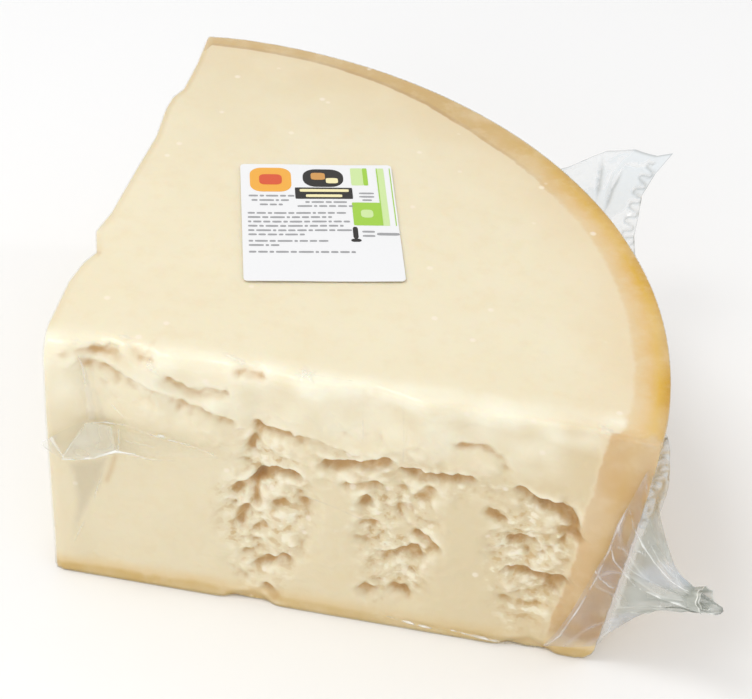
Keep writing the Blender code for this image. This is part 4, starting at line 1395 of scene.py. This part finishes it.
def film_seam():
    """The sealed mouth of the bag: a flange round the curved side that grows into an ear."""
    angles = np.array([angle for angle, _ in SEAM_WIDTH])
    widths = np.array([width for _, width in SEAM_WIDTH])
    fine = np.linspace(angles[0], angles[-1], 400)
    density = np.cumsum(0.3 + np.interp(fine, angles, widths) / widths.max())
    density = (density - density[0]) / (density[-1] - density[0])

    def place(u, v):
        angle = float(np.interp(u, density, fine))
        width = float(np.interp(angle, angles, widths))
        beyond = FILM_LIFT + v * (width - FILM_LIFT)
        turn = math.radians(angle)
        wave = math.sin(19.0 * turn) + 0.6 * math.sin(43.0 * turn)
        z = SEAM_HEIGHT + SEAM_RISE * beyond + SEAM_WAVE * v * wave
        return rim_point(angle, z, beyond)

    mesh = film_grid(SEAM_COLUMNS, SEAM_ROWS, place)
    points, normals = mesh_arrays(mesh)
    across = read_attribute(mesh, "across")
    outward = read_attribute(mesh, "outward")
    height, haze_and_sheen = crease_fields(points, SEAM_CREASES)
    x, y = photo_pixels(points)
    seal, _ = line_distance(x, y, meander(SEAL_LINE, SEAL_SWING, SEAL_LOOPS))
    seal = np.exp(-(seal / 1.4) ** 2)
    crumpled = crumple(points, 5.0, 51.0) * smooth_step(outward, 0.0, 0.4)
    narrow = 1.0 - smooth_step(np.interp(across, density, fine), 24.0, 36.0)
    height = height + 0.45 * seal + crumpled * (0.12 + 1.2 * narrow)
    set_points(mesh, points + normals * height[:, None])
    edge = smooth_step(outward, 0.975, 0.995)
    # Painted highlights on the crests of the narrow part's crumples
    haze_and_sheen = haze_and_sheen + 0.7 * narrow * smooth_step(crumpled, 0.6, 0.95)
    # Painted shade along the first two creases, as dark lines
    crease_shade_lines, _ = crease_fields(points, SEAM_CREASES[:2])
    line = np.clip(0.4 * seal + 0.5 * edge + 0.5 * crease_shade_lines, 0.0, 1.0)
    shade = narrow * smooth_step(-crumpled, -0.3, 0.3)
    film_fields(mesh, haze_and_sheen, line, shade, 0.3 + 0.2 * narrow)
    return finish_piece("film_mouth", mesh, film_material("back_film"), "film_seam")


def ear_base():
    """The closed line where the front ear leaves the cheese, round the front corner."""
    front = [Vector((x, -FILM_LIFT, z)) for x, z in EAR_FRONT_LINE]
    low = Vector((EAR_LOW_CORNER[0], -FILM_LIFT, EAR_LOW_CORNER[1]))
    side = [rim_point(angle, z, FILM_LIFT) for angle, z in EAR_SIDE_LINE]
    high = Vector((EAR_HIGH_CORNER[0], -FILM_LIFT, EAR_HIGH_CORNER[1]))
    return front + [low] + side + [high, front[0]]


# Creases of the front ear: height, half width, whiteness, pixels
# Their whiteness is partly creased film and partly a painted highlight
EAR_CREASES = (
    (0.5, 0.45, 0.8, ((646, 460), (634, 489), (620, 524), (611, 545), (600, 570), (590, 590), (574, 615))),
    (0.5, 0.5, 0.6, ((574, 615), (560, 635), (540, 649), (534, 646))),
    (0.5, 0.35, 1.0, ((594, 569), (600, 578), (610, 586), (618, 589))),
    (0.6, 0.45, 0.8, ((611, 545), (614, 560), (625, 572), (636, 586))),
    (0.9, 0.6, 1.0, ((640, 588), (658, 594), (675, 601), (693, 608), (708, 611), (719, 611))),
    (0.4, 0.35, 0.7, ((629, 505), (633, 525), (643, 545), (655, 562), (672, 580), (689, 590))),
    (0.4, 0.35, 0.5, ((648, 541), (660, 560), (678, 577))),
    (0.4, 0.35, 0.6, ((611, 545), (625, 549), (640, 551), (647, 556))),
    (0.4, 0.3, 0.5, ((622, 561), (634, 571), (645, 577))),
    (0.5, 0.4, 0.6, ((627, 610), (650, 612), (672, 611), (700, 612))),
    (0.3, 0.35, 0.5, ((645, 487), (650, 486), (655, 485))),
)

# Windows in the front ear through which the cheese or the ground shows clearly: middle,
# half size in pixels and lean
EAR_WINDOWS = (
    ((651, 487), (8.0, 34.0), -0.15),
    ((627, 530), (5.0, 20.0), -0.25),
    ((660, 500), (12.0, 42.0), 0.1),
)

# Parts of the front ear that look cool and clear, as the windows
EAR_COOL = (
    ((672, 575), (34.0, 13.0), 0.0),
    ((626, 625), (28.0, 13.0), 0.0),
)


def in_window(x, y, window):
    """1 inside an upright oval of pixels and 0 outside it."""
    (mid_x, mid_y), (half_x, half_y), lean = window
    across = (x - mid_x - lean * (y - mid_y)) / half_x
    return 1.0 - smooth_step(np.hypot(across, (y - mid_y) / half_y), 0.7, 1.2)


# Opacity of the front ear, less over the cheese and where it is cool, and how clear its
# windows are
EAR_VEIL = 0.36
EAR_VEIL_OVER_CHEESE = 0.12
EAR_VEIL_COOL = 0.1
EAR_WINDOW_CLEAR = 0.85


def ear_veil(points):
    """How much the front ear veils what lies behind it, over the cheese and how cool."""
    x, y = photo_pixels(points)
    out = np.hypot(points[:, 0] - WHEEL_CENTRE[0], points[:, 1] - WHEEL_CENTRE[1])
    off_rind = out - WHEEL_RADIUS + rim_inset(points[:, 2])
    over_cheese = smooth_step(points[:, 1], 4.0, 1.0) * smooth_step(-off_rind, -1.0, 0.5)
    cool = np.zeros(len(x))
    for window in EAR_COOL:
        cool = np.maximum(cool, in_window(x, y, window))
    patchy = 1.0 + 0.9 * noise_field(points, 8.0, 91.0)
    veil = (EAR_VEIL - EAR_VEIL_OVER_CHEESE * over_cheese - EAR_VEIL_COOL * cool) * patchy
    for window in EAR_WINDOWS:
        veil = veil * (1.0 - EAR_WINDOW_CLEAR * in_window(x, y, window))
    on_rind = (1.0 - smooth_step(off_rind, 1.5, 3.0)) * smooth_step(points[:, 1], -0.6, 0.2)
    return veil - on_rind, over_cheese, cool


def radial_folds(mesh, count, seed):
    """Folds that run outwards over a closed film grid, highest at 1."""
    across = read_attribute(mesh, "across")
    outward = read_attribute(mesh, "outward")
    turn = 2.0 * math.pi * across
    reach = count / (2.0 * math.pi)
    places = np.column_stack((reach * np.cos(turn), reach * np.sin(turn), 2.5 * outward))
    return 1.0 - 2.0 * np.abs(noise_field(places, 1.0, seed))


def relax(mesh, held, rounds):
    """Even out a mesh, apart from the held points, without letting it into the cheese."""
    with editing(mesh) as bm:
        free = [vert for vert in bm.verts if not held[vert.index]]
        for _ in range(rounds):
            bmesh.ops.smooth_vert(
                bm, verts=free, factor=0.5, use_axis_x=True, use_axis_y=True, use_axis_z=True
            )
            for vert in free:
                vert.co = outside_block(vert.co, FILM_LIFT)


def film_front_ear():
    """The front ear: a tent of film from the front corner, drawn out to a flat curled tip."""
    base = ear_base()
    middle = sum(base[:-1], Vector()) / (len(base) - 1)
    tip = Vector(EAR_TIP)

    def place(u, v):
        spread = (along(base, u) - middle) * (1.0 - v) ** EAR_TAPER
        turn = 2.0 * math.pi * u
        flat = Vector((0.0, -0.25 * math.sin(turn), math.cos(turn)))
        near_tip = EAR_TIP_HALF_WIDTH * smooth_step(v, 0.3, 0.75) * (1.0 - v) ** 0.4
        ripple = EAR_RIPPLE * math.sin(5.0 * turn) * math.sin(math.pi * v)
        point = middle.lerp(tip, v) + spread + flat * near_tip
        point.z += ripple
        return outside_block(point, FILM_LIFT)

    mesh = film_grid(EAR_COLUMNS, EAR_ROWS, place, closed=True)
    outward = read_attribute(mesh, "outward")
    relax(mesh, (outward < 0.01) | (outward > 0.9), 12)
    points, normals = mesh_arrays(mesh)
    on_front_sheet = front_share(points, normals)
    height, haze_and_sheen = crease_fields(points, EAR_CREASES, 0.5)
    crumpled = radial_folds(mesh, 9.0, 61.0)
    height = on_front_sheet * height + 1.1 * crumpled * smooth_step(outward, 0.05, 0.4)
    set_points(mesh, points + normals * height[:, None])
    # Painted highlights on the crests of the folds
    haze_and_sheen = on_front_sheet * haze_and_sheen + 0.2 * smooth_step(crumpled, 0.8, 1.0)
    veil, over_cheese, cool = ear_veil(points)
    film_fields(mesh, haze_and_sheen, 0.4 * smooth_step(outward, 0.94, 0.99), over_cheese, veil, cool)
    return finish_piece("film_ear", mesh, film_material("ear_film"), "film_front_ear")


# The curled end of the front ear: its middle in pixels, its outer and inner radius, its
# length and how far round it is rolled
CURL_PIXEL = (701.0, 599.0)
CURL_RADII = (4.9, 3.0)
CURL_LENGTH = 9.0
CURL_TURNS = 1.35


def film_ear_curl():
    """The roll at the end of the front ear, open at its front end."""
    middle = Vector(at_pixel(*CURL_PIXEL, EAR_TIP))
    back = (Vector(CAMERA_FORWARD) - 0.8 * Vector(CAMERA_RIGHT)).normalized()
    over = back.cross(Vector((0.0, 0.0, 1.0))).normalized()
    up = over.cross(back)

    def place(u, v):
        angle = 2.0 * math.pi * (0.62 - CURL_TURNS * u)
        radius = CURL_RADII[0] + u * (CURL_RADII[1] - CURL_RADII[0])
        radius *= (1.0 - 0.25 * v) * (1.0 + 0.08 * math.sin(7.0 * angle + 3.0 * v))
        ring = over * math.cos(angle) + up * math.sin(angle)
        return middle + back * CURL_LENGTH * (v - 0.25) + ring * radius

    mesh = film_grid(120, 40, place)
    points, normals = mesh_arrays(mesh)
    outward = read_attribute(mesh, "outward")
    across = read_attribute(mesh, "across")
    rim = 1.0 - smooth_step(np.minimum(outward, 1.0 - across), 0.03, 0.1)
    uneven = 0.6 + 0.8 * noise_field(points, 3.0, 93.0)
    veil = 0.4 * (1.0 - smooth_step(outward, 0.5, 1.0))
    film_fields(mesh, np.clip(rim * uneven, 0.0, 0.8), veil=veil)
    return finish_piece("film_curl", mesh, film_material("curl_film"))


# Creases of the folded corner: height, half width, whiteness, pixels
# Their whiteness is partly creased film and partly a painted highlight
FOLD_CREASES = (
    (0.5, 0.55, 1.0, ((62, 459), (75, 459), (95, 457), (108, 453), (116, 451), (135, 454))),
    (0.5, 0.45, 0.9, ((86, 423), (105, 422), (125, 425), (150, 434), (164, 438), (190, 445), (214, 455))),
    (0.4, 0.35, 0.5, ((118, 424), (119, 440), (118, 452))),
    (0.4, 0.35, 0.5, ((86, 423), (74, 440), (62, 458))),
    (0.4, 0.7, 0.5, ((47, 431), (55, 444), (64, 457))),
)

# The flap of the folded corner, in pixels
FOLD_FLAP = ((61, 458), (74, 439), (86, 423), (111, 425), (116, 451), (104, 455), (84, 458))


def film_corner_fold():
    """The bag's folded corner, lying on the front side next to the wedge's point."""

    def place(u, v):
        low = along(FOLD_LOWER, u)
        high = along(FOLD_UPPER, u)
        x, z = low.lerp(high, v)
        bulge = FOLD_BULGE * math.sin(math.pi * v) * math.sin(math.pi * min(1.0, 1.6 * u))
        return Vector((x, -FILM_LIFT - bulge, z))

    mesh = film_grid(FOLD_COLUMNS, FOLD_ROWS, place)
    points, normals = mesh_arrays(mesh)
    height, haze_and_sheen = crease_fields(points, FOLD_CREASES)
    outwards = np.sign(np.sum(normals * np.array((0.0, -1.0, 0.0)), axis=1))
    set_points(mesh, points + normals * (outwards * height)[:, None])
    x, y = photo_pixels(points)
    flap = smooth_step(inside_outline(x, y, FOLD_FLAP), -1.5, 1.0)
    beyond = 1.0 - smooth_step(x, 46.0, 62.0)
    patchy = 0.85 + 0.4 * noise_field(points, 6.0, 87.0)
    film_fields(mesh, haze_and_sheen, veil=0.05 + 0.38 * flap * patchy + 0.3 * beyond)
    return finish_piece("film_fold", mesh, film_material("fold_film"), "film_corner_fold")


# Label

# Printed fields of the label: ink, layer, middle and size in millimetres from the label's
# middle, and corner radius
PRINT_FIELDS = (
    ("amber", 0, (-17.6, 25.9), (15.6, 15.4), 4.5),
    ("red", 1, (-17.6, 25.9), (8.6, 6.6), 2.0),
    ("black", 0, (2.3, 27.2), (15.4, 11.6), 5.0),
    ("ochre", 1, (0.4, 28.2), (5.4, 4.6), 1.0),
    ("cream", 1, (5.6, 25.4), (4.6, 3.4), 0.8),
    ("black", 0, (2.2, 17.3), (21.6, 7.2), 0.3),
    ("cream", 1, (2.4, 19.0), (18.4, 1.7), 0.3),
    ("cream", 1, (2.2, 15.6), (13.6, 1.7), 0.3),
    ("green", 0, (17.6, 4.2), (10.6, 14.4), 0.3),
    ("pale_green", 1, (17.6, 4.2), (4.6, 5.0), 1.5),
    ("pale_green", 0, (15.2, 28.2), (4.6, 11.4), 0.3),
    ("green", 0, (18.4, 28.2), (1.8, 11.4), 0.3),
    ("pale_green", 0, (24.4, 15.4), (2.6, 36.8), 0.3),
    ("green", 1, (23.0, 15.4), (0.4, 36.8), 0.1),
    ("green", 0, (28.0, 15.4), (0.4, 36.8), 0.1),
    ("grey", 0, (18.2, 17.4), (5.6, 1.0), 0.4),
    ("grey", 0, (18.2, 15.2), (5.6, 1.0), 0.4),
    ("grey", 0, (18.2, 13.0), (3.6, 1.0), 0.4),
    ("black", 0, (12.6, -7.6), (1.9, 7.4), 0.9),
    ("black", 0, (12.6, -12.2), (3.8, 1.8), 0.9),
    ("grey", 0, (17.4, -6.8), (4.6, 1.1), 0.4),
    ("grey", 0, (17.4, -9.4), (4.6, 1.1), 0.4),
    ("grey", 0, (24.6, -8.2), (8.4, 1.6), 0.7),
)

# Rows of small print: left end, height, length, then the ink
PRINT_ROWS = (
    (-26.0, 15.6, 17.0), (-25.0, 12.8, 15.0), (-22.0, 10.0, 8.5),
    (-5.0, 11.6, 15.5), (-8.0, 9.0, 21.0),
    (-26.6, 4.6, 37.0), (-26.6, 2.0, 31.0), (-26.6, -0.7, 37.5), (-26.6, -3.3, 35.0),
    (-26.6, -6.0, 38.5), (-26.6, -8.6, 20.5),
    (-26.6, -12.6, 30.5), (-26.6, -15.2, 12.5), (-26.6, -19.2, 38.5),
)
ROW_HEIGHT = 1.05
WORD_LENGTHS = (3.4, 1.6, 4.6, 2.2, 5.4, 1.2, 3.0, 2.6)
WORD_GAP = 0.7
INK_THICKNESS = 0.04
PAPER_WAVE = 0.12

INKS = {
    "amber": srgb(240, 172, 62),
    "red": srgb(216, 84, 44),
    "black": srgb(30, 26, 22),
    "ochre": srgb(206, 150, 78),
    "cream": srgb(244, 232, 180),
    "green": srgb(158, 204, 62),
    "pale_green": srgb(204, 228, 160),
    "grey": srgb(158, 158, 160),
}


def paper_height(x, y):
    """How the paper waves on the cheese."""
    broad = math.sin(0.11 * x + 0.5) * math.cos(0.08 * y)
    return PAPER_WAVE * (broad + 0.4 * math.sin(0.3 * y))


def on_label(x, y, lift):
    """A place on the label, from its own middle and upright to millimetres from the point."""
    turn = math.radians(LABEL_TURN_DEG)
    across = x * math.cos(turn) - y * math.sin(turn)
    up = x * math.sin(turn) + y * math.cos(turn)
    top = HEIGHT + LABEL_LIFT + paper_height(x, y) + lift
    return Vector((LABEL_CENTRE[0] + across, LABEL_CENTRE[1] + up, top))


def add_patch(bm, middle, size, corner, low, high):
    """Add a thin closed patch with rounded corners that follows the paper."""
    columns = max(4, int(size[0] / 1.2))
    rows = max(4, int(size[1] / 1.2))
    made = bmesh.ops.create_grid(bm, x_segments=columns, y_segments=rows, size=0.5)
    faces = {face for vert in made["verts"] for face in vert.link_faces}
    for vert in made["verts"]:
        x = vert.co.x * size[0]
        y = vert.co.y * size[1]
        over_x = abs(x) - (size[0] / 2.0 - corner)
        over_y = abs(y) - (size[1] / 2.0 - corner)
        if over_x > 0.0 and over_y > 0.0:
            shrink = max(over_x, over_y) / math.hypot(over_x, over_y)
            x = math.copysign(size[0] / 2.0 - corner + over_x * shrink, x)
            y = math.copysign(size[1] / 2.0 - corner + over_y * shrink, y)
        vert.co = on_label(middle[0] + x, middle[1] + y, low)
    raised = bmesh.ops.extrude_face_region(bm, geom=list(faces))
    for vert in raised["geom"]:
        if isinstance(vert, bmesh.types.BMVert):
            vert.co.z += high - low


def label_piece(name, bm, material, node=None):
    """Finish one layer of the label."""
    bmesh.ops.recalc_face_normals(bm, faces=bm.faces)
    mesh = bpy.data.meshes.new(name)
    bm.to_mesh(mesh)
    bm.free()
    piece = finish_piece(name, mesh, material, node)
    piece.data.set_sharp_from_angle(angle=math.radians(40.0))


def row_words(left, length, start):
    """The bars that stand for the words of one row: left end and length of each."""
    words = []
    place = left
    count = start
    while place < left + length - 1.0:
        word = min(WORD_LENGTHS[count % len(WORD_LENGTHS)], left + length - place)
        words.append((place, word))
        place += word + WORD_GAP
        count += 1
    return words


def build_label():
    """The paper label with its generic print: one piece for the paper and one for each ink."""
    paper = bmesh.new()
    add_patch(paper, (0.0, 0.0), LABEL_SIZE, LABEL_CORNER, 0.0, LABEL_THICKNESS)
    label_piece("label_paper", paper, print_material("paper", srgb(238, 238, 239)), "label")
    layers = {ink: bmesh.new() for ink in INKS}
    for ink, layer, middle, size, corner in PRINT_FIELDS:
        low = LABEL_THICKNESS + (0.5 + 1.5 * layer) * INK_THICKNESS
        add_patch(layers[ink], middle, size, corner, low, low + INK_THICKNESS)
    low = LABEL_THICKNESS + 0.5 * INK_THICKNESS
    for count, (left, height, length) in enumerate(PRINT_ROWS):
        for place, word in row_words(left, length, 3 * count):
            middle = (place + word / 2.0, height)
            add_patch(layers["grey"], middle, (word, ROW_HEIGHT), 0.3, low, low + INK_THICKNESS)
    for ink, bm in layers.items():
        label_piece(f"print_{ink}", bm, print_material(f"ink_{ink}", INKS[ink]))


# Stage

def build_floor():
    """A plain pale floor."""
    mesh = bpy.data.meshes.new("floor")
    with editing(mesh) as bm:
        bmesh.ops.create_grid(bm, x_segments=8, y_segments=8, size=FLOOR_SIZE / 2.0)
    material, _, shader, _ = new_material("floor")
    set_inputs(shader, FLOOR_INPUTS)
    mesh.materials.append(material)
    obj = add_object("floor", mesh)
    obj.location.z = -FLOOR_DROP


def area_light(name, place, size, power):
    """A soft light that looks from a place towards the part."""
    light = bpy.data.lights.new(name, 'AREA')
    light.shape = 'RECTANGLE'
    light.size = size[0]
    light.size_y = size[1]
    light.energy = power
    obj = add_object(name, light)
    obj.location = place
    obj.rotation_euler = (Vector(LIGHT_AIM) - Vector(place)).to_track_quat('-Z', 'Y').to_euler()


def build_lights():
    """Plain soft studio light: a pale surround and large soft boxes."""
    world = bpy.data.worlds.new("studio")
    world.use_nodes = True
    background = world.node_tree.nodes["Background"]
    background.inputs["Color"].default_value = (1.0, 1.0, 1.0, 1.0)
    background.inputs["Strength"].default_value = SURROUND_STRENGTH
    bpy.context.scene.world = world
    for light in LIGHTS:
        area_light(*light)


def build_camera():
    """The camera at the photograph's viewing angle."""
    forward = Vector(CAMERA_FORWARD).normalized()
    right = Vector(CAMERA_RIGHT).normalized()
    up = right.cross(forward)
    camera = bpy.data.cameras.new("camera")
    camera.sensor_fit = 'HORIZONTAL'
    camera.sensor_width = SENSOR
    camera.lens = FOCAL_PIXELS / PHOTO_SIZE[0] * SENSOR
    obj = add_object("camera", camera)
    turn = Matrix((right, up, -forward)).transposed().to_4x4()
    obj.matrix_world = Matrix.Translation(Vector(to_frame(CAMERA_PLACE))) @ turn
    bpy.context.scene.camera = obj


def main():
    """Build the stage and every piece of the part."""
    bpy.context.scene.view_settings.view_transform = 'Standard'
    build_camera()
    build_floor()
    build_lights()
    block = plain_block()
    front = relief(front_depth)
    left = relief(left_depth)
    cheese_wedge(block, front, left)
    tight_film(block, front, left)
    film_seam()
    film_front_ear()
    film_ear_curl()
    film_corner_fold()
    build_label()


main()
